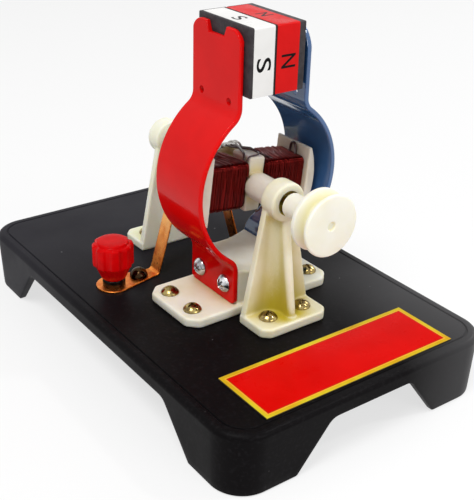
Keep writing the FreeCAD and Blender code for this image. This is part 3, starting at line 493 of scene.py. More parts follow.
# zinc with painted reflection: its light and dark patches stand for the bright and dark things the screw heads mirror
zincBright = metal("zinc", (0.78, 0.78, 0.80), (0.14, 0.14, 0.15), 0.15, patch=700)
steelGround = metal("steel", (0.56, 0.56, 0.57), (0.42, 0.42, 0.43), 0.28)
steelDark = metal("dark_steel", (0.050, 0.044, 0.040), (0.024, 0.021, 0.018), 0.3)
solderGrey = metal("solder", (0.62, 0.60, 0.57), (0.34, 0.33, 0.31), 0.34, 700, 0.3, 500)
copperStrip = stripCopper()
copperBright = metal("copper_turned", (0.84, 0.42, 0.20), (0.62, 0.24, 0.09), 0.22, 1600, 0.2, 300)
enamelRed = wireEnamel()
leadRed = plain("lead_enamel", (0.045, 0.008, 0.008), 0.3)
redKnob = knobPlastic("red_knob", (0.68, 0.002, 0.003), (0.52, 0.001, 0.002))
blackKnob = knobPlastic("black_knob", (0.016, 0.016, 0.017), (0.028, 0.027, 0.028))
whiteFilm = film("white_film", (0.78, 0.775, 0.76), (0.72, 0.715, 0.70))
redFilm = film("red_film", (0.64, 0.007, 0.007), (0.56, 0.005, 0.005))
inkBlack = plain("ink", (0.004, 0.0036, 0.004), 0.4, Specular_IOR_Level=0.08)
print("finishes ready")

# tray: a wall profile carried round a rounded rectangle, its foot cut by the arches
traySizes = dict(corner=10.5, draft=0.7, shoulder=1.8, skirt=2.4, deck=2.6, lip=0.5, spacing=0.6,
                 lineInset=3.0, lineWidth=0.6, lineDepth=0.35, lineEdge=0.12,
                 archHeight=14.2, archCorner=4.0, endArch=(25.0, 14.25), sideArch=(51.7, 40.1))


def archRise(away, foot, top):
    # height of the arch over a point this far from its middle: slope, arc and flat top
    height, corner = traySizes["archHeight"], traySizes["archCorner"]
    slope = math.atan2(height, foot - top)
    reach = corner * math.tan(slope / 2)
    sloped = np.clip((foot - away) * math.tan(slope), 0, height)
    inArc = (away > top - reach) & (away < top + reach * math.cos(slope))
    arc = height - corner + np.sqrt(np.maximum(corner ** 2 - (away - top + reach) ** 2, 0))
    return np.where(inArc, arc, sloped)


def makeTray():
    s = traySizes
    low, high = lowHigh("base")
    half = (high - low)[:2] / 2
    core = half - s["corner"]
    rim = refine(roundCorners(rectangle(-half[0], half[0], -half[1], half[1]), s["corner"], 25), s["spacing"])
    anchor = np.clip(rim, -core, core)
    outward = unit(rim - anchor)
    away = np.abs(rim).T
    rise = np.where(np.abs(outward[:, 1]) > np.abs(outward[:, 0]),
                    archRise(away[0], *s["endArch"]), archRise(away[1], *s["sideArch"]))
    inner, under, lip = s["draft"] + s["skirt"], deckTop - s["deck"], s["lip"]
    rows = []

    def row(inset, height):
        flat = anchor + outward * (s["corner"] - np.asarray(inset))[..., None]
        rows.append(xyz(flat[:, 0], flat[:, 1], height))

    def outerInset(height):
        return s["draft"] * (1 - height / deckTop)

    # up the inside from the deck's underside to the foot, round its lip, and up the outside
    for inset, drop in ((1.2, 0), (0.35, 0.1), (0, 0.5)):
        row(inner + inset, under - drop)
    for share in np.linspace(0, 1, 6)[1:]:
        row(inner, under - 0.5 + (rise + lip - under + 0.5) * share)
    for lessCos, lessSin in zip(*quarter([30, 60, 90])):
        row(inner - lip * lessCos, rise + lip * lessSin)
    for lessCos, lessSin in zip(*quarter([90, 60, 30, 0])):
        row(outerInset(rise) + lip * lessCos, rise + lip * lessSin)
    start, end = rise + lip, deckTop - s["shoulder"]
    for share in np.linspace(0, 1, 9)[1:]:
        height = start + (end - start) * share
        row(outerInset(height), height)
    for angle in np.radians(np.linspace(0, 90, 8)[1:]):
        row(s["shoulder"] * (1 - math.cos(angle)), end + s["shoulder"] * math.sin(angle))
    line, soft, deep = s["lineInset"], s["lineEdge"], s["lineDepth"]
    for inset, drop in ((-soft, 0), (0, soft), (soft, deep)):
        row(line + inset, deckTop - drop)
    for inset, drop in ((-soft, deep), (0, soft), (soft, 0)):
        row(line + s["lineWidth"] + inset, deckTop - drop)
    addPiece("tray", [shell(rows)], "root", trayBlack, ["base"], sharp=32)


makeTray()

# name plate, bare: a red film with a yellow border
plateSizes = dict(border=1.8, corner=0.6, edge=0.08, lift=0.01)
low, high = lowHigh("label_plate")
plateOutline = refine(roundCorners(rectangle(low[0], high[0], low[1], high[1]), plateSizes["corner"]), 2.0)
addPiece("name_plate", [slab(plateOutline, low[2] + plateSizes["lift"], high[2], plateSizes["edge"])], "root",
         plateFilm((low + high)[:2] / 2, (high - low)[:2] / 2, plateSizes["border"]), ["label_plate"])
print("tray and plate done")

# pole arms: a strip carried along a bent line; the blue one eases out above its block
armSizes = dict(inner=9.1, thick=1.4, bow=26.3, beyond=3.4, lift=1.2, bend=4.0, edge=0.4,
                ear=(4.0, 4.0), notchDepth=2.8, notchTop=9.2, notchFloor=7.0, footCorner=2.0,
                holeRadius=1.05, holeDrop=19.55, holeSpan=12.8, step=0.5,
                blueEar=(6.5, 8.8), blueEase=(1.6, 1.9), blueFrom=34.0, blueTo=86.0)


def bentLine(start, heading, moves, step):
    # points and right-hand normals of a line made of straights (length) and arcs (radius, turn),
    # the turn in degrees, anticlockwise positive
    place = np.array(start, float)
    angle = math.radians(heading)
    points, normals = [], []
    for move in moves:
        if isinstance(move, tuple):
            radius, turn = move[0], math.radians(move[1])
            side = math.copysign(1, turn)
            centre = place + radius * side * np.array([-math.sin(angle), math.cos(angle)])
            headings = angle + turn * np.linspace(0, 1, max(3, int(radius * abs(turn) / step)))
            across = xyz(np.sin(headings), -np.cos(headings))
            run = centre + radius * side * across
            angle += turn
        else:
            along = np.array([math.cos(angle), math.sin(angle)])
            run = place + along * (move * np.linspace(0, 1, max(2, int(move / step))))[:, None]
            across = np.broadcast_to([math.sin(angle), -math.cos(angle)], run.shape)
        keep = slice(1 if points else 0, None)
        points.append(run[keep])
        normals.append(across[keep])
        place = run[-1]
    return np.concatenate(points), np.concatenate(normals)


def stripRing(halfWidth, thick, edge, steps=4, across=90, marks=()):
    # (y, n) round a strip's section, from the middle of one side over the face to the other side and
    # back underneath, so that point k lies over point -k
    inside, half = halfWidth - edge, thick / 2
    turn = np.radians(np.linspace(0, 90, steps + 1))
    corner = xyz(inside + edge * np.cos(turn), half - edge + edge * np.sin(turn))
    face = np.unique(np.round(np.concatenate([np.linspace(-inside, inside, across), marks]), 4))[::-1]
    upper = np.concatenate([[(halfWidth, 0)], corner[:-1], xyz(face, half), corner[-2::-1] * [-1, 1],
                            [(-halfWidth, 0)]])
    return np.concatenate([upper, upper[-2:0:-1] * [1, -1]])


def stripShell(x, y, z):
    # a closed strip whose two ends are filled with quads across its thickness
    rings = xyz(x, y, z)
    rows, columns = rings.shape[:2]
    faces = gridQuads(rows, columns).tolist()
    for first in (0, (rows - 1) * columns):
        for k in range(columns // 2):
            loop = [k, k + 1, columns - k - 1, (columns - k) % columns]
            faces.append([first + c for c in dict.fromkeys(loop)])
    return rings.reshape(-1, 3), faces


def makeArm(name, side, paintwork, node):
    s = armSizes
    ear, tall = s["blueEar"] if side > 0 else s["ear"]
    out, forward = s["blueEase"] if side > 0 else (0, 0)
    low, high = lowHigh(node)
    half = (high[1] - low[1]) / 2
    middle = s["inner"] + s["thick"] / 2
    bowCentre = axisHeight + s["lift"]
    reach, run = s["bow"] + s["bend"], s["inner"] + s["thick"] + s["bend"] + s["beyond"]
    rise = math.sqrt(reach ** 2 - run ** 2)
    turn = math.degrees(math.atan2(rise, run))
    smallBend, bow = s["bend"] + s["thick"] / 2, s["bow"] - s["thick"] / 2
    line, normal = bentLine((middle, low[2]), 90, [
        bowCentre - rise - low[2], (smallBend, -turn), (bow, 2 * turn), (smallBend, -turn),
        high[2] - bowCentre - rise], s["step"])
    # the first and last rows round the strip's ends
    edge = s["edge"]
    lessCos, lessSin = quarter([0, 30, 60, 90])
    inset = np.outer(edge * lessCos, [0, 1])
    body = (line[:, 1] > low[2] + edge) & (line[:, 1] < high[2] - edge)
    spine = np.concatenate([line[0] + inset, line[body], (line[-1] - inset)[::-1]])
    normal = np.concatenate([np.repeat(normal[:1], 4, 0), normal[body], np.repeat(normal[-1:], 4, 0)])
    thin = np.concatenate([edge * lessSin, np.zeros(body.sum()), edge * lessSin[::-1]])[:, None]
    marks = [k * p for p in (s["notchTop"] / 2, s["notchFloor"] / 2, half - ear) for k in (-1, 1)]
    ring = stripRing(half, s["thick"], edge, marks=marks)
    depth = np.sign(ring[:, 1]) * np.maximum(np.abs(ring[:, 1]) - thin, 0)
    x = spine[:, :1] + normal[:, :1] * depth
    z = spine[:, 1:] + normal[:, 1:] * depth
    y = np.broadcast_to(ring[:, 0], x.shape)
    # the ears' top edge and the foot's corners, as a height that depends on y
    away = np.abs(y)
    slope = (s["notchTop"] - s["notchFloor"]) / 2 / s["notchDepth"]
    drop = np.clip((s["notchTop"] / 2 - away) / slope, 0, s["notchDepth"])
    past = np.clip(away - (half - ear), 0, ear)
    drop = drop + tall * (1 - np.sqrt(1 - (past / ear) ** 2))
    z = z - drop * np.clip((z - (high[2] - 9)) / 9, 0, 1)
    past = np.clip(away - (half - s["footCorner"]), 0, s["footCorner"])
    lift = s["footCorner"] - np.sqrt(s["footCorner"] ** 2 - past ** 2)
    z = z + lift * np.clip((low[2] + 5 - z) / 5, 0, 1)
    # easing: 1 - (1 - t) squared
    share = 1 - (1 - np.clip((z - s["blueFrom"]) / (s["blueTo"] - s["blueFrom"]), 0, 1)) ** 2
    thing = looseObject(name, [moved(stripShell(x + out * share, y - forward * share, z), facing(side, poleMiddle))])
    hole = lathe([(s["holeRadius"], -2), (s["holeRadius"], 2)], 0, 24)
    cutAway(thing, [moved(hole, shifted(side * middle + out, poleMiddle - forward + end * s["holeSpan"] / 2,
                                        high[2] - s["holeDrop"]), alongX) for end in (-1, 1)])
    dress(thing, "root", paintwork, [node], sharp=40)


makeArm("arm_red", -1, redPaint, "pole_arm_red")
makeArm("arm_blue", 1, bluePaint, "pole_arm_blue")
print("pole arms done")

saddleSizes = dict(flangeWidth=52.4, flangeDepth=24.4, flangeThick=3.0, chamfer=3.2, cornerRound=1.9,
                   flangeEdge=0.6, blockWidth=18.2, blockDepth=21.6, blockEdge=0.15, hollow=24.6,
                   voxel=0.32, passes=6)


def makeSaddle():
    # a chamfered flange and a block hollowed by a circle round the shaft
    s = saddleSizes
    x, y, c = s["flangeWidth"] / 2, s["flangeDepth"] / 2, s["chamfer"]
    corners = [(c - x, -y), (x - c, -y), (x, c - y), (x, y - c), (x - c, y), (c - x, y), (-x, y - c), (-x, c - y)]
    flange = slab(refine(roundCorners(corners, s["cornerRound"]), 1.5), 0, s["flangeThick"], s["flangeEdge"])
    half, r = s["blockWidth"] / 2, s["hollow"]
    dip = math.degrees(math.asin(half / r))
    hollow = circleArc((0, shaftRise), r, -90 + dip, -90 - dip, 40)
    section = refine(np.concatenate([[(-half, 0.4), (half, 0.4)], hollow]), 1.5)
    block = moved(slab(section, -s["blockDepth"] / 2, s["blockDepth"] / 2, s["blockEdge"]), swap=alongY)
    place = shifted(y=boxCentre("pole_saddle")[1], z=deckTop)
    thing = moulded("saddle", [moved(flange, place), moved(block, place)], s)
    dress(thing, "root", nylonWhite, ["pole_saddle"], sharp=50)


standSizes = dict(footWidth=23.6, footDepth=12.3, footThick=3.0, footEdge=0.55, chamfer=2.2,
                  footRounds=(1.8, 1.8, 1.6, 0.3, 0.3, 1.6), columnFoot=11.5, columnNeck=4.7,
                  plate=2.2, rib=2.9, ribReach=(10.3, 5.4), ribCove=(4.2, 2.6), boss=5.7, bossLength=5.6,
                  bossRound=0.7, mouth=3.65, mouthDepth=3.6, bore=1.55, voxel=0.28, passes=8)


def ribRing(height, share, s):
    # the rib's section at a share of its height: two coves and a round nose, seen from above
    cove, reach = (foot + (neck - foot) * share for foot, neck in (s["ribCove"], s["ribReach"]))
    half, plate = s["rib"] / 2, s["plate"]
    wide = half + cove
    flat = np.concatenate([[(-wide, -plate / 2)], circleArc((-wide, -plate - cove), cove, 90, 0, 10),
                           circleArc((0, half - reach), half, 180, 360, 13),
                           circleArc((wide, -plate - cove), cove, 180, 90, 10), [(wide, -plate / 2)]])
    return xyz(flat[:, 0], flat[:, 1], height)


def makeStand(name, node, side, finish):
    # foot, tapering column, rib and boss grow forward from the flat back
    s = standSizes
    half, depth, c, thick = s["footWidth"] / 2, s["footDepth"], s["chamfer"], s["footThick"]
    corners = [(c - half, -depth), (half - c, -depth), (half, c - depth), (half, 0), (-half, 0), (-half, c - depth)]
    foot = slab(refine(roundCorners(corners, s["footRounds"]), 1.2), 0, thick, s["footEdge"])
    a, b = s["columnFoot"], s["columnNeck"]
    front = np.array([(-a, 0.8), (a, 0.8), (a, thick), (b, shaftRise), (-b, shaftRise), (-a, thick)])

    def forward(part, rise=0.0):
        return moved(part, lambda points: points * [1, -1, 1] + [0, 0, rise], alongY)

    column = forward(slab(refine(front, 1.2), 0, s["plate"], 0.1))
    neck = shaftRise - s["boss"] + s["rib"] / 2
    rib = shell([ribRing(thick + (neck - thick) * share, share, s) for share in np.linspace(-0.02, 1.04, 24)])
    r, end = s["boss"], s["bossLength"]
    boss = forward(lathe([(0.01, 0), (r, 0), (r, end), (0.01, end)], [0, 0.2, s["bossRound"], 0], 72), shaftRise)
    step = end - s["mouthDepth"]
    hole = forward(lathe([(0.01, -3), (s["bore"], -3), (s["bore"], step), (s["mouth"], step + 0.3),
                          (s["mouth"], 9), (0.01, 9)], 0, 48), shaftRise)
    low, high = lowHigh(node)
    place = facing(side, (high if side > 0 else low)[1], deckTop)
    thing = moulded(name, [moved(part, place) for part in (foot, column, rib, boss)], s)
    dress(cutAway(thing, [moved(hole, place)]), "root", finish, [node], sharp=50)


makeSaddle()
makeStand("stand_front", "front_stand", 1, nylonStand)
makeStand("stand_rear", "rear_stand", -1, nylonRearLit)
print("saddle and stands done")

# pulley, turned round the shaft
pulleySizes = dict(radius=8.8, thick=6.5, rim=1.4, frontRim=0.95, groove=3.2, root=0.9, hub=3.5, hubLength=10.1,
                   dimple=1.35, dimpleDepth=0.6, bore=1.52, web=1.6)


def makePulley():
    s = pulleySizes
    r, t, dip, end = s["radius"], s["thick"], s["dimpleDepth"], s["thick"] + s["hubLength"]
    corners = [(0.01, dip), (s["dimple"] * 0.7, dip), (s["dimple"], 0), (r, 0), (r, s["frontRim"]),
               (r - s["groove"], (t + s["frontRim"] - s["rim"]) / 2), (r, t - s["rim"]), (r, t), (s["hub"], t),
               (s["hub"], end), (s["bore"], end), (s["bore"], s["web"]), (0.01, s["web"])]
    radii = [0, 0.4, 0.6, 0.5, 0.3, s["root"], 0.35, 0.5, 0.8, 0.35, 0, 0, 0]
    wheel = moved(lathe(corners, radii, 128, 7), shifted(y=lowHigh("pulley")[0][1]), alongY)
    addRotorPiece("pulley_wheel", [wheel], nylonPulley, ["pulley"], sharp=40)


makePulley()

# rotor frame: barrel, wall between the coils, sleeves, shoes and disc, moulded in one
rotorSizes = dict(middle=-12.4, radius=20.0, curve=24.0, shoe=3.1, span=20.2, length=15.2, barrel=4.0, neck=2.8,
                  cheekHeight=16.4, cheekDepth=8.4, cheekMiddle=-13.1, cheekRound=0.9, cheekEdge=0.5,
                  coilDepth=10.4, coilHeight=13.5, build=3.15, disc=7.6, discThick=2.5, voxel=0.25, passes=3)


def makeRotorFrame():
    s = rotorSizes
    low, high = lowHigh("rotor_frame")
    m, coil = s["middle"], s["coilDepth"] / 2
    front, rear, disc = m - coil - 0.1, m + coil + 0.1, high[1] - s["discThick"]
    corners = [(0.01, low[1]), (s["barrel"], low[1]), (s["barrel"], front), (s["neck"], front), (s["neck"], rear),
               (s["barrel"], rear), (s["barrel"], disc), (s["disc"], disc), (s["disc"], high[1]), (0.01, high[1])]
    barrel = moved(lathe(corners, [0, .5, .4, .1, .1, .3, .3, .4, .4, 0], 72), swap=alongY)
    top, deep, side = s["cheekHeight"] / 2, s["cheekDepth"] / 2, s["neck"]
    wall = refine(roundCorners(rectangle(-side, side, -top, top), s["cheekRound"]), 1.5)
    cheek = moved(slab(wall, s["cheekMiddle"] - deep, s["cheekMiddle"] + deep, s["cheekEdge"]), swap=alongY)
    reach, thick, tall = s["radius"] - s["shoe"] / 2, coil - s["build"], s["coilHeight"] / 2 - s["build"]
    sleeve = slab(refine(rectangle(-reach, reach, m - thick, m + thick), 2.0), -tall, tall, 0.15)
    # each shoe is a segment of a circle with a flat back
    lean = math.degrees(math.asin(s["span"] / 2 / s["curve"]))
    outer = circleArc((s["radius"] - s["curve"], 0), s["curve"], -lean, lean, 40)
    back = s["radius"] - s["shoe"]
    segment = np.concatenate([outer, [(back, s["span"] / 2), (back, -s["span"] / 2)]])
    shoe = moved(slab(refine(segment, 0.8), m - s["length"] / 2, m + s["length"] / 2, 0.2), swap=alongY)
    parts = [barrel, cheek, sleeve, shoe, moved(shoe, lambda points: points * [-1, 1, -1])]
    thing = moulded("rotor_body", [moved(part, onShaft) for part in parts], s)
    dress(thing, "rotor", nylonShade, ["rotor_frame"], sharp=50)


makeRotorFrame()
print("rotor frame and pulley done")

# coils: turns of wire laid side by side round a rounded section, their outer end by the shoe
coilSizes = dict(start=2.95, turns=32, wire=0.17, corner=1.7, sag=0.10, jitter=0.055, lean=0.8, around=150,
                 depth=12.4, height=14.1, drift=0.16, rowsPerTurn=5, crossings=9, crossWire=0.20, thinning=1.1)


def coilRing():
    # points (y, w) and outward directions round the winding's section, at equal steps
    s = coilSizes
    y, w = s["depth"] / 2, s["height"] / 2
    ring = refine(roundCorners(rectangle(-y, y, -w, w), s["corner"], 12), 0.2)
    closed = np.concatenate([ring, ring[:1]])
    length = np.concatenate([[0], np.cumsum(np.linalg.norm(np.diff(closed, axis=0), axis=1))])
    steps = np.linspace(0, length[-1], s["around"], endpoint=False)
    even = xyz(*(np.interp(steps, length, column) for column in closed.T))
    ahead = unit(np.roll(even, -1, 0) - np.roll(even, 1, 0))
    return even, xyz(ahead[:, 1], -ahead[:, 0])


def tube(path, radius, sides=8):
    # a round wire along a path: the ring is carried by the turning of its direction
    path = np.asarray(path, float)
    ahead = unit(np.gradient(path, axis=0))
    sideways = [unit(np.cross(ahead[0], [0.0, 0.0, 1.0] if abs(ahead[0][2]) < 0.9 else [1.0, 0.0, 0.0]))]
    for step in ahead[1:]:
        side = sideways[-1]
        sideways.append(unit(side - step * (side @ step)))
    upwards = np.cross(ahead, sideways)
    angle = roundAngles(sides)[:, None]
    ring = np.array(sideways)[:, None] * np.cos(angle) + upwards[:, None] * np.sin(angle)
    return shell(path[:, None] + radius * ring)


def smoothPath(points, count):
    # a curve through its points by cubic pieces whose slopes come from their neighbours
    points = np.asarray(points, float)
    ends = np.concatenate([[2 * points[0] - points[1]], points, [2 * points[-1] - points[-2]]])
    t = np.linspace(0, len(points) - 1 - 1e-9, count)
    k = t.astype(int)
    f = (t - k)[:, None]
    a, b, c, d = (ends[k + offset] for offset in range(4))
    return 0.5 * (2 * b + (c - a) * f + (2 * a - 5 * b + 4 * c - d) * f ** 2 + (3 * b - a - 3 * c + d) * f ** 3)


def makeCoil(name, node, sign):
    s, m = coilSizes, rotorSizes["middle"]
    ring, outward = coilRing()
    along = np.linspace(0, 1, s["turns"] * s["rowsPerTurn"] + 1)
    turn = np.minimum((along * s["turns"]).astype(int), s["turns"] - 1)
    within = along * s["turns"] - turn
    lay = rng.uniform(-1, 1, s["turns"])
    wave = rng.uniform(0, 2 * math.pi, s["turns"])
    bow = np.sin(math.pi * along)
    length = rotorSizes["radius"] - rotorSizes["shoe"] - 0.2 - s["start"]
    # round wires: each turn swells by a half circle between its grooves
    swell = s["wire"] * (np.sqrt(np.maximum(0, 1 - (2 * within - 1) ** 2)) - 1) + s["jitter"] * lay[turn]
    drift = s["drift"] * np.sin(roundAngles(s["around"]) * 2 + wave[turn][:, None]) * bow[:, None]
    # over the top face each wire steps on to the next turn
    front, crown = s["depth"] / 2, s["height"] / 2
    top = np.clip((ring[:, 1] - crown + 1.55) / 1.2, 0, 1)
    step = length / s["turns"] * s["lean"] * top * np.clip(ring[:, 0] / front, -1, 1)
    u = s["start"] + length * along[:, None] + (drift + step) * bow[:, None] ** 0.5
    bulge = -s["sag"] * (1 - bow ** 0.3) - s["thinning"] * np.clip(1 - along * length / 2.2, 0, 1) ** 2
    y, w = ring.T[:, None] + outward.T[:, None] * ((swell + bulge)[:, None] - 0.05)
    parts = [moved(shell(xyz(sign * u, y + m, w)), onShaft)]
    shades = [np.repeat(rng.uniform(0, 1, s["turns"])[turn], s["around"])]
    # a few loose wires cross the others on the top face and go down a little on each side
    for k in range(s["crossings"]):
        first = s["start"] + 0.6 + 9.0 * (k / s["crossings"]) ** 1.5 + rng.uniform(-0.4, 0.4)
        last = first + rng.uniform(1.6, 3.6)
        side, over = front - 0.05, crown - 0.03
        crossing = [(first, -side, 3.2), (first + 0.1, -side, crown - 1.6), (first + 0.3, -side + 0.9, over - 0.12),
                    (first + 0.9, -1.5, over), (last - 0.6, 1.5, over), (last - 0.1, side - 0.9, over - 0.12),
                    (last, side, crown - 1.6), (last, side, 3.2)]
        path = smoothPath(crossing, 48) + [0, m, 0]
        path[:, 0] = np.clip(path[:, 0], 3.3, 16.4) * sign
        parts.append(moved(tube(path, s["crossWire"]), onShaft))
        shades.append(np.full(len(parts[-1][0]), rng.uniform(0.3, 1)))
    thing = looseObject(name, parts)
    # the shade of every turn is kept on its points, which holds while no doubles were merged
    shade = np.concatenate(shades)
    if len(shade) == len(thing.data.vertices):
        thing.data.attributes.new("turn", "FLOAT", "POINT").data.foreach_set("value", shade.astype(np.float32))
    else:
        print("shades of", name, "not kept:", len(shade), len(thing.data.vertices))
    dress(thing, "rotor", enamelRed, [node], sharp=60)


makeCoil("winding_right", "coil_right", 1)
makeCoil("winding_left", "coil_left", -1)
print("coils done")

# shaft, commutator and its leads
commutatorSizes = dict(start=-1.0, end=25.9, middle=12.0, length=9.0, radius=4.8, thick=0.85, slot=0.8,
                       collar=5.4, collarThick=1.5, bush=3.2, bore=1.52, edge=0.12)


def makeShaft():
    low, high = lowHigh("shaft")
    r = high[0]
    rod = lathe([(0.01, low[1]), (r, low[1]), (r, high[1]), (0.01, high[1])], [0, 0.3, 0.3, 0], 48)
    addRotorPiece("shaft_rod", [moved(rod, swap=alongY)], steelGround, ["shaft"])


def makeCommutator():
    s = commutatorSizes
    first, last = s["middle"] - s["length"] / 2, s["middle"] + s["length"] / 2
    before, after = first - s["collarThick"], last + s["collarThick"]
    bore, bush, collar, core = s["bore"], s["bush"], s["collar"], s["radius"] - s["thick"] - 0.05
    corners = [(bore, s["start"]), (bush, s["start"]), (bush, before), (collar, before), (collar, first),
               (core, first), (core, last), (collar, last), (collar, after), (bush, after), (bush, s["end"]),
               (bore, s["end"])]
    part = moved(lathe(corners, [0, .2, .2, .3, .3, 0, 0, .3, .3, .2, .2, 0], 72), swap=alongY)
    addRotorPiece("commutator_bush", [part], nylonShade, ["commutator_core"])
    # each segment is a rounded bar section turned through half a circle, less the slot
    section = roundCorners(rectangle(s["radius"] - s["thick"], s["radius"], first + 0.02, last - 0.02), s["edge"], 4)
    gap = math.asin(s["slot"] / 2 / s["radius"])
    for name, node, turn in (("segment_upper", "commutator_segment_a", 0),
                             ("segment_lower", "commutator_segment_b", math.pi)):
        around = np.linspace(gap, math.pi - gap, 60)[:, None] + turn
        bar = shell(xyz(section[:, 0] * np.cos(around), section[:, 1], section[:, 0] * np.sin(around)))
        addRotorPiece(name, [bar], copperBright, [node])


def blob(size, lumps, seed):
    # a soldered lump: a ball whose radius swells and sinks with a few waves
    local = np.random.default_rng(seed)
    across, down = np.meshgrid(roundAngles(28), np.linspace(0.02, math.pi - 0.02, 16))
    swell = 1 + lumps * (np.sin(3 * across + local.uniform(0, 6)) * np.sin(2 * down + local.uniform(0, 6))
                         + 0.6 * np.sin(5 * across + local.uniform(0, 6)) * np.sin(down) ** 2)
    ball = xyz(np.cos(across) * np.sin(down), np.sin(across) * np.sin(down), np.cos(down))
    return shell(ball * (swell[..., None] * size))


leadSizes = dict(wire=0.24, thick=0.34, loop=0.40, tinned=0.34, rim=7.45, rimBlobs=(-34, -17, 1, 19),
                 rimBlob=(1.45, 0.95, 0.5), endBlob=(1.1, 0.8, 0.5))


def makeLeads():
    # wire ends over the wall and along the disc, where they are soldered, and a loop by one shoe
    s = leadSizes
    enamelled = [
        ("wire", [(-3.9, -16.6, 6.4), (-3.2, -16.7, 7.5), (-2.6, -16.6, 8.2), (-1.6, -16.5, 8.42), (0, -16.3, 8.42),
                  (1.4, -15.6, 8.42), (2.4, -14.2, 8.4), (3.3, -12.6, 7.7), (4.4, -11.2, 6.8)]),
        ("thick", [(-3.6, -15.4, 6.3), (-3.2, -15.0, 7.6), (-2.6, -13.8, 8.45), (-1.6, -11.4, 8.55),
                   (-0.2, -8.6, 8.3), (1.2, -5.8, 7.8), (2.6, -3.8, 7.2)]),
        ("wire", [(6.4, -16.4, 6.8), (5.2, -15.8, 7.3), (4.0, -14.6, 7.7), (3.0, -13.2, 8.1), (1.8, -11.8, 8.5),
                  (0.4, -10.2, 8.5), (-0.9, -8.4, 8.2), (-1.4, -5.8, 7.8), (-1.2, -3.4, 7.5)]),
        ("wire", [(5.6, -14.4, 6.9), (4.5, -13.3, 7.5), (3.3, -12.0, 8.1), (2.2, -10.8, 8.5), (1.0, -9.4, 8.4),
                  (0.3, -7.0, 8.0), (0.4, -3.4, 7.5)]),
        ("wire", [(4.9, -11.8, 6.9), (3.9, -10.9, 7.6), (2.9, -10.0, 8.3), (1.9, -9.0, 8.3), (1.3, -6.8, 7.9),
                  (1.6, -3.4, 7.3)]),
        ("wire", [(4.9, -8.4, 6.2), (4.9, -6.9, 6.8), (5.0, -5.2, 6.7), (4.6, -3.8, 6.5)]),
        ("loop", [(15.9, -11.6, 6.4), (16.35, -11.8, 7.4), (16.35, -12.0, 9.0), (16.35, -12.8, 9.8),
                  (16.35, -13.8, 9.4), (16.3, -14.5, 8.0), (15.8, -14.8, 6.4)]),
        ("wire", [(3.6, -17.6, -5.6), (2.6, -18.6, -6.5), (1.3, -19.4, -7.0), (0.6, -19.0, -7.7), (1.4, -17.8, -8.35),
                  (3.0, -15.4, -7.6), (3.9, -14.0, -6.4)]),
        ("wire", [(-4.9, -8.4, -6.2), (-4.9, -6.9, -6.8), (-5.0, -5.2, -6.7), (-4.6, -3.8, -6.5)])]
    addRotorPiece("coil_leads", [tube(smoothPath(path, 60), s[kind]) for kind, path in enamelled],
                  leadRed)
    # tinned ends lie over the disc's rim and go on to the commutator's segments
    tails = ([(4.4, -3.7, 6.6), (4.0, -2.6, 7.55), (3.6, -0.9, 7.5), (3.0, 1.0, 6.0), (2.8, 3.4, 4.6),
              (2.7, 5.4, 4.3)],
             [(2.8, -3.7, 7.1), (2.6, -2.4, 7.75), (2.3, -0.9, 7.5), (1.8, 1.2, 5.9), (1.8, 3.6, 4.9),
              (1.9, 5.4, 4.7)])
    tinned = []
    for sign in (1, -1):
        mirror = np.array([sign, 1, sign])
        tinned += [tube(smoothPath(tail * mirror, 50), s["tinned"]) for tail in tails]
        # flat lumps of solder along the rim, and one on the segment
        for k, away in enumerate(np.radians(s["rimBlobs"])):
            place = np.array([s["rim"] * math.sin(away), -2.9, s["rim"] * math.cos(away)])
            lump = blob(s["rimBlob"], 0.2, 3 * k + 2)
            tinned.append(moved(lump, lambda p: (turnedAbout(p, away) + place) * mirror))
        tinned.append(moved(blob(s["endBlob"], 0.17, 11), shifted(*([2.4, 5.8, 4.25] * mirror))))
    addRotorPiece("tinned_leads", tinned, solderGrey)


makeShaft()
makeCommutator()
makeLeads()
print("shaft, commutator and leads done")

# brushes: a copper strip, round under the terminal and bent up to lean on the commutator
brushSizes = dict(thick=0.6, width=5.2, lean=0.285, play=0.15, bend=1.0, tip=4.5, paddle=5.5, edge=0.14,
                  step=0.35, clip=0.6)


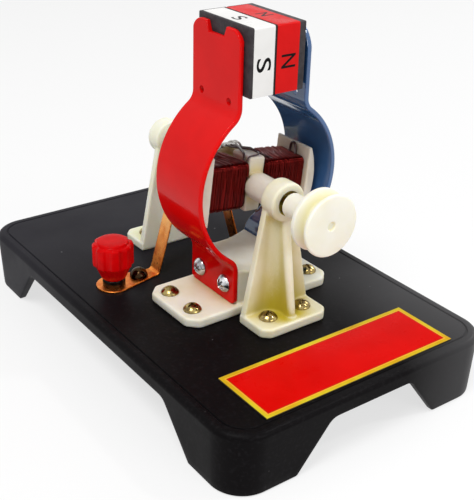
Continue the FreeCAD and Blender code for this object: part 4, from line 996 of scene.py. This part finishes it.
def makeBrush(name, node, side):
    s = brushSizes
    t, lean = s["thick"], s["lean"]
    slope = math.sqrt(1 + lean ** 2)
    heel = (commutatorSizes["radius"] + s["play"]) * slope + lean * shaftRise
    top = shaftRise + s["tip"]
    # along the middle of the strip: from the blade's tip down, round the bend and out to the paddle
    tip = np.array([heel - lean * top + t / 2 * slope, top])
    corner = np.array([heel + t / 2 * slope - lean * t / 2, t / 2])
    bend, sweep = s["bend"] + t / 2, 90 - math.degrees(math.atan(lean))
    reach = bend * math.tan(math.radians(sweep) / 2)
    end = np.abs(lowHigh(node))[:, 0].max()
    moves = [np.linalg.norm(corner - tip) - reach, (bend, sweep), end - corner[0] - reach]
    line, normal = bentLine(tip, -sweep, moves, s["step"])
    # half the width along it: the blade's, then a taper to the paddle and its round end
    start, wide, paddle = corner[0] + 2 * s["bend"], s["width"] / 2, s["paddle"]
    flatPart = (line[:, 0] > corner[0]) & (line[:, 1] < t)
    taper = wide + (paddle - wide) * np.clip((line[:, 0] - start) / (terminalReach - start), 0, 1)
    beyond = np.clip(line[:, 0] - terminalReach, 0, paddle - 0.02)
    rounded = np.where(beyond > 0, np.sqrt(paddle ** 2 - beyond ** 2), taper)
    half = np.where(flatPart, np.minimum(taper, rounded), wide)
    # the tip's corners are clipped
    fromTip = np.concatenate([[0], np.cumsum(np.linalg.norm(np.diff(line, axis=0), axis=1))])
    half = half - s["clip"] * np.clip(1 - fromTip / 0.8, 0, 1)
    # the section keeps its thickness at every width
    ring = stripRing(1.0, t, s["edge"], steps=3, across=24)
    x = line[:, :1] + normal[:, :1] * ring[:, 1]
    z = line[:, 1:] + normal[:, 1:] * ring[:, 1]
    strip = moved(stripShell(x, half[:, None] * ring[:, 0], z), facing(side, brushMiddle, deckTop))
    addPiece(name, [strip], "root", copperStrip, [node], sharp=40)


makeBrush("brush_strip_right", "brush_right", 1)
makeBrush("brush_strip_left", "brush_left", -1)
print("brushes done")

# terminals: washer, stud, insert and lobed knob
knobSizes = dict(foot=3.6, skirt=5.5, skirtHeight=4.3, radius=6.25, height=7.5, round=0.9, cap=4.8, capHeight=0.7,
                 capRound=0.35, lobes=8, flute=1.7, fluteOut=1.1, soften=0.16, bore=2.55, deep=9.05, around=192)
terminalSizes = dict(washerBore=1.65, washerEdge=0.15, stud=1.5, studCut=0.28, studHead=2.75, studHeadHeight=2.0,
                     insertBore=1.56, insert=2.5, insertEdge=0.12)


def leftAndRight(across, *rows):
    # places left and right of the shaft, in these rows
    return [(x, y) for x in (-across, across) for y in rows]


def makeKnob(name, node, body, finish):
    # radius by angle: the knob's circle and its flutes' circles, blended where they meet
    s = knobSizes
    angle = roundAngles(s["around"])
    sector = 2 * math.pi / s["lobes"]
    away = np.abs((angle / sector + 0.5) % 1 - 0.5) * sector
    far = s["radius"] + s["fluteOut"]
    inside = np.maximum(s["flute"] ** 2 - (far * np.sin(away)) ** 2, 0)
    flute = np.where(inside > 0, far * np.cos(away) - np.sqrt(inside), far * 1.2)
    lobed = -s["soften"] * np.log(np.exp(-s["radius"] / s["soften"]) + np.exp(-flute / s["soften"]))
    foot, skirt, shoulder, curve = s["foot"], s["skirt"], s["skirtHeight"], s["round"]
    top = shoulder + s["height"]
    rows = [(0.02, s["deep"]), (s["bore"], s["deep"]), (s["bore"], 0), (foot - 0.3, 0), (foot, 0.25)]
    rows += [(foot + (skirt - foot) * share, shoulder * share) for share in np.linspace(0.1, 1, 9)]
    rows += [(skirt + (lobed - skirt) * (0.15 + 0.85 * math.sin(share * math.pi / 2)), shoulder + 0.12 + 0.6 * share)
             for share in np.linspace(0, 1, 5)]
    rows += [(lobed, height) for height in np.linspace(shoulder + 1.0, top - curve, 9)]
    rows += [(lobed - curve * lessCos, top - curve * lessSin)
             for lessCos, lessSin in zip(*quarter([20, 40, 60, 80, 90]))]
    # the cap is a low disc with rounded edges
    r, crown, soft = s["cap"], top + s["capHeight"], s["capRound"]
    rows += [(r + 0.12, top), (r, top + 0.12)]
    rows += [(r - soft * lessCos, crown - soft * lessSin) for lessCos, lessSin in zip(*quarter([0, 30, 60, 90]))]
    rows += [(r * 0.5, crown), (0.02, crown)]
    rings = [xyz(radius * np.cos(angle), radius * np.sin(angle), height) for radius, height in rows]
    x, y, _ = boxCentre(node)
    addPiece(name, [moved(shell(rings), shifted(x, y, lowHigh(node)[0][2]))], body, finish, [node], sharp=35)


def ringPart(inner, outer, low, high, edge, centre):
    profile = roundCorners(rectangle(inner, outer, low, high), edge, 4)
    return moved(shell(turned(profile, 48), closed=True), shifted(*centre))


def screwThread(radius, low, high, depth, steps=40, pitch=0.5):
    # a shank whose radius falls and rises once in each pitch
    height = np.arange(low, high + 1e-6, pitch / 4)
    wave = radius - depth * 0.5 * (1 - np.cos(2 * math.pi * height / pitch))
    wave[[0, -1]] = radius - depth
    return shell(turned(np.concatenate([[[0.01, low]], xyz(wave, height), [[0.01, height[-1]]]]), steps))


def makeTerminals():
    s = terminalSizes
    spots = leftAndRight(terminalReach, brushMiddle)
    low, high = lowHigh("terminal_washers")
    washers = [ringPart(s["washerBore"], high[1] - brushMiddle, low[2], high[2], s["washerEdge"], spot)
               for spot in spots]
    addPiece("washers", washers, "root", steelDark, ["terminal_washers"])
    low, high = lowHigh("terminal_studs")
    bottom, wide, thick = low[2], s["studHead"], s["studHeadHeight"]
    corners = [(0.01, bottom), (wide, bottom), (wide, bottom + thick), (0.01, bottom + thick)]
    head = lathe(corners, [0, 0.9, 0.1, 0], 48)
    thread = screwThread(s["stud"], bottom + thick - 0.1, high[2], s["studCut"])
    addPiece("studs", [moved(part, shifted(*spot)) for spot in spots for part in (thread, head)], "root",
             brassYellow, ["terminal_studs"])
    for colour, spot in zip(("red", "black"), spots):
        node = "knob_insert_" + colour
        low, high = lowHigh(node)
        insert = ringPart(s["insertBore"], s["insert"], low[2], high[2], s["insertEdge"], spot)
        addPiece("insert_ring_" + colour, [insert], "insert_" + colour, brassYellow, [node])
    for colour, plastic in (("red", redKnob), ("black", blackKnob)):
        makeKnob("knob_cap_" + colour, "terminal_knob_" + colour, "knob_" + colour, plastic)


makeTerminals()
print("terminals done")

# screws and nuts
screwSizes = dict(radius=1.5, head=2.75, height=2.0, rim=0.35, recess=True, arm=1.65, half=0.34, deep=1.15, rings=34,
                  around=128, cut=0.26, brush=dict(radius=1.1, head=2.85, height=2.9, recess=False),
                  saddleAcross=21.6, saddleAlong=6.0, standAcross=6.13, armAcross=6.2, armTurns=(0.6, 0.95),
                  brushAcross=21.8, flats=5.5, nutBore=1.5)


def screwHead(s, turn):
    # a domed head over z = 0: height falls off as a part of a ball down to a short rim, and the
    # cross recess sinks towards its middle with a slope on its walls
    share = np.concatenate([[1.0, 1.0], np.linspace(1, 0, s["rings"]) ** 0.85])
    angle = roundAngles(s["around"])
    radius, height, rim, arm = s["head"], s["height"], s["rim"], s["arm"]
    r = radius * share[:, None]
    r[-1] = 0.004
    x, y = r * np.cos(angle), r * np.sin(angle)
    ball = (radius ** 2 + (height - rim) ** 2) / (2 * (height - rim))
    z = height - ball + np.sqrt(np.maximum(ball ** 2 - r ** 2, 0))
    if s["recess"]:
        a, b = np.abs(x * math.cos(turn) + y * math.sin(turn)), np.abs(y * math.cos(turn) - x * math.sin(turn))
        along, across = np.maximum(a, b), np.minimum(a, b)
        half = s["half"] * (1 - 0.25 * along / arm)
        wall = np.clip((half - across) / 0.12, 0, 1) * np.clip((arm - along) / 0.25, 0, 1)
        z = z - wall * s["deep"] * (1 - 0.55 * along / arm)
    z[0], z[1] = 0, rim * 0.6
    rings = xyz(x, y, z)
    rings[0, :, :2] *= 0.97
    return shell(rings)


def makeScrews(name, node, slot, finish, spots, place, length, turns=None, **own):
    s = dict(screwSizes, **own)
    parts = []
    for k, spot in enumerate(spots):
        turn = rng.uniform(0, math.pi / 2) if turns is None else turns[k]
        for part in (screwHead(s, turn), screwThread(s["radius"], -length, 0.1, s["cut"], 32)):
            parts.append(moved(moved(part, shifted(*spot)), place))
    addPiece(name, parts, "root", finish, [node], sharp=34)


def hexNut(low, high):
    # a hexagon whose corners are turned off by a cone at both ends
    flats = screwSizes["flats"]
    hexagon = refine(circleArc((0, 0), flats / math.sqrt(3), 0, 300, 6), 0.35)
    far = np.linalg.norm(hexagon, axis=1)[:, None]
    edge = np.clip(far - flats * 0.49, 0, 1) * 0.6
    inner, end = hexagon / far * screwSizes["nutBore"], hexagon * np.minimum(1, flats * 0.47 / far)
    rows = ((inner, low), (end, low), (hexagon, low + edge), (hexagon, high - edge), (end, high), (inner, high))
    return shell([np.column_stack([flat, np.broadcast_to(z, far.shape)]) for flat, z in rows], closed=True)


def makeFasteners():
    s = screwSizes
    nutLow, deckUnder = (bound[2] for bound in lowHigh("saddle_nuts"))
    end = lowHigh("saddle_screws")[0][2]
    middle, along = boxCentre("saddle_screws")[1], s["saddleAlong"]
    flange, foot = deckTop + saddleSizes["flangeThick"], deckTop + standSizes["footThick"]
    saddleSpots = leftAndRight(s["saddleAcross"], middle - along, middle + along)
    makeScrews("screws_saddle", "saddle_screws", "brass", brassYellow, saddleSpots, shifted(z=flange), flange - end)
    standSpots = []
    for name, node in (("screws_front", "front_stand_screws"), ("screws_rear", "rear_stand_screws")):
        spots = leftAndRight(s["standAcross"], boxCentre(node)[1])
        standSpots += spots
        makeScrews(name, node, "brass", brassYellow, spots, shifted(z=foot), foot - end)
    face = armSizes["inner"] + armSizes["thick"]
    for name, node, side in (("screws_blue", "arm_screws_blue", 1), ("screws_red", "arm_screws_red", -1)):
        _, y, z = boxCentre(node)
        length = face - np.abs(lowHigh(node))[:, 0].min()
        # a screw's own z points away from the arm
        makeScrews(name, node, "zinc", zincBright, leftAndRight(s["armAcross"], 0), lambda p: xyz(
            side * (p[:, 2] + face), p[:, 0] * side + y, p[:, 1] + z), length, s["armTurns"])
    top = deckTop + brushSizes["thick"]
    makeScrews("screws_brush", "brush_screws", "brass", brassDarkReflection, leftAndRight(s["brushAcross"], brushMiddle),
               shifted(z=top), top - lowHigh("brush_screws")[0][2], **s["brush"])
    nut = hexNut(nutLow, deckUnder)
    for name, node, spots in (("nuts_saddle", "saddle_nuts", saddleSpots), ("nuts_stand", "stand_nuts", standSpots)):
        addPiece(name, [moved(nut, shifted(*spot)) for spot in spots], "root", brassYellow, [node])


makeFasteners()
print("fasteners done")

# magnets with their pole stickers
magnetSizes = dict(edge=0.35, bend=0.5, skin=0.09, film=0.06, lift=0.005, back=-2.6, bottom=85.45, seam=0.25,
                   white=(-8.2, -1.45), red=(-0.70, 6.75), frontLetter=93.9, topLetter=-14.6, letterTall=4.7,
                   letterWide=3.7, letterThick=0.012, letterBold=0.06, topScale=0.86, southLetter=-4.85,
                   northLetter=3.3)


def makeMagnet(name, node, side):
    # a block whose inner face keeps half a seam from its neighbour's
    s = magnetSizes
    low, high = lowHigh(node)
    seam = s["seam"] / 2
    left, right = (low[0], high[0] - seam) if side < 0 else (low[0] + seam, high[0])
    flat = refine(roundCorners(rectangle(left, right, low[1] + s["skin"], high[1]), s["edge"], 4), 3)
    addPiece(name, [slab(flat, low[2], high[2] - s["skin"], s["edge"])], "magnet", ferriteBlack, [node])


def makeSticker(name, finish, left, right):
    # a thin film over the top, round the front edge and down the front
    s = magnetSizes
    low, high = lowHigh("magnet_south")
    top, front, r = high[2] - s["skin"] + s["lift"], low[1] + s["skin"] - s["lift"], s["bend"]
    path = np.concatenate([[(s["back"], top), (front + 6, top), (front + 2, top)],
                           circleArc((front + r, top - r), r, 90, 180, 7),
                           [(front, top - 6), (front, top - 12), (front, s["bottom"])]])
    ahead = unit(np.gradient(path, axis=0))
    over = path + xyz(-ahead[:, 1], ahead[:, 0]) * -s["film"]
    ring = [np.column_stack([np.full(len(path), x), line])
            for x, line in ((left, path), (right, path), (right, over), (left, over))]
    addPiece(name, [shell(np.stack(ring, 1))], "magnet", finish)


def makeLetter(name, letter, x, onTop):
    # a plain pole letter, its upright along x; the one on top is read from the side
    s = magnetSizes
    curve = bpy.data.curves.new(name, "FONT")
    curve.body, curve.size, curve.extrude = letter, s["letterTall"] * 1.4 * mm, 0.000006
    curve.offset, curve.resolution_u = s["letterBold"] * mm, 6
    text = linked(name, curve)
    mesh = evaluatedMesh(text)
    bpy.data.objects.remove(text)
    points = np.empty(len(mesh.vertices) * 3)
    mesh.vertices.foreach_get("co", points)
    points = points.reshape(-1, 3)
    points = (points - (points.min(0) + points.max(0)) / 2) / (points.max(0) - points.min(0))
    scale = s["topScale"] if onTop else 1
    across, up, out = (points * [s["letterWide"], s["letterTall"], s["letterThick"]] * scale).T
    low, high = lowHigh("magnet_south")
    lift = s["film"] - s["skin"] + s["letterThick"]
    if onTop:
        place = xyz(up + x, s["topLetter"] - across, out + high[2] + lift)
    else:
        place = xyz(up + x, low[1] - lift - out, s["frontLetter"] - across)
    mesh.vertices.foreach_set("co", (place * mm).ravel())
    dress(linked(name, mesh), "magnet", inkBlack)


makeMagnet("block_south", "magnet_south", -1)
makeMagnet("block_north", "magnet_north", 1)
makeSticker("film_white", whiteFilm, *magnetSizes["white"])
makeSticker("film_red", redFilm, *magnetSizes["red"])
for pole, letter in (("south", "S"), ("north", "N")):
    for face in ("front", "top"):
        makeLetter("letter_%s_%s" % (pole, face), letter, magnetSizes[pole + "Letter"], face == "top")
# the rotor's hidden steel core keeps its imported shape
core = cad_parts["rotor_core"]
core.data.materials.clear()
core.data.materials.append(steelGround)
print("magnets done")

# floor, light and camera
stageSizes = dict(half=1.6, drop=0.0002, paper=(0.86, 0.86, 0.86, 1), rough=0.9, floorWhite=0.7, sky=0.44,
                  aim=(0, 0, 0.05))
white = (1, 1, 1, 1)


def whiteToCamera(owner, output, glow, base, share):
    # this share of plain white for camera, mirror and clear rays, and the given shader for the rest
    nodes = Nodes(owner.node_tree)
    rays = nodes.add("LightPath").outputs
    seen = nodes.maths("MAXIMUM", rays["Is Camera Ray"], rays["Is Glossy Ray"])
    seen = nodes.maths("MULTIPLY", nodes.maths("MAXIMUM", seen, rays["Is Transmission Ray"]), share)
    plainWhite = nodes.add(glow, {"Color": white, "Strength": 1.0}).outputs[0]
    mix = nodes.add("MixShader", {0: seen, 1: base, 2: plainWhite}).outputs[0]
    nodes.feed(owner.node_tree.nodes[output].inputs["Surface"], mix)


def standing(thing, right, up, back, place):
    thing.matrix_world = Matrix([*zip(right, up, back, place), (0, 0, 0, 1)])


def addLamp(name, place, size, power):
    lamp = linked(name, bpy.data.lights.new(name, "AREA"))
    lamp.data.shape = "RECTANGLE"
    lamp.data.size, lamp.data.size_y = size
    lamp.data.energy = power
    back = unit(np.array(place) - stageSizes["aim"])
    side = unit(np.cross([0, 0, 1.0], back))
    standing(lamp, side, np.cross(back, side), back, place)


h = stageSizes["half"]
floorMesh = bpy.data.meshes.new("floor")
floorMesh.from_pydata([(-h, -h, 0), (h, -h, 0), (h, h, 0), (-h, h, 0)], [], [(0, 1, 2, 3)])
floor = linked("floor", floorMesh)
floor.location.z = -stageSizes["drop"]
floorPaper = bpy.data.materials.new("floor_paper")
floorPaper.use_nodes = True
paper = floorPaper.node_tree.nodes["Principled BSDF"]
paper.inputs["Base Color"].default_value = stageSizes["paper"]
paper.inputs["Roughness"].default_value = stageSizes["rough"]
whiteToCamera(floorPaper, "Material Output", "Emission", paper.outputs[0], stageSizes["floorWhite"])
floorMesh.materials.append(floorPaper)

world = bpy.data.worlds.new("studio")
scene.world = world
world.use_nodes = True
sky = world.node_tree.nodes["Background"]
sky.inputs["Color"].default_value = white
sky.inputs["Strength"].default_value = stageSizes["sky"]
whiteToCamera(world, "World Output", "Background", sky.outputs[0], 1.0)

addLamp("key", (-0.35, -0.20, 0.75), (0.3, 0.3), 4.1)
addLamp("fill", (0.15, -0.8, 0.35), (0.4, 0.3), 1.4)
addLamp("rim", (0.80, 0.05, 0.5), (0.25, 0.25), 1.7)
addLamp("spark", (0.40, -0.35, 0.59), (0.06, 0.06), 0.9)

view = dict(place=(-152.826, -214.371, 162.323), right=(0.80839, -0.58813, 0.02464),
            up=(0.24959, 0.38037, 0.89052), back=(-0.53312, -0.71373, 0.45428), lens=68.11)
camera = linked("camera", bpy.data.cameras.new("camera"))
scene.camera = camera
camera.data.sensor_fit = "VERTICAL"
camera.data.sensor_height = 36
camera.data.lens = view["lens"]
camera.data.clip_start = 0.01
standing(camera, view["right"], view["up"], view["back"], np.array(view["place"]) * mm)
scene.view_settings.view_transform = "Standard"
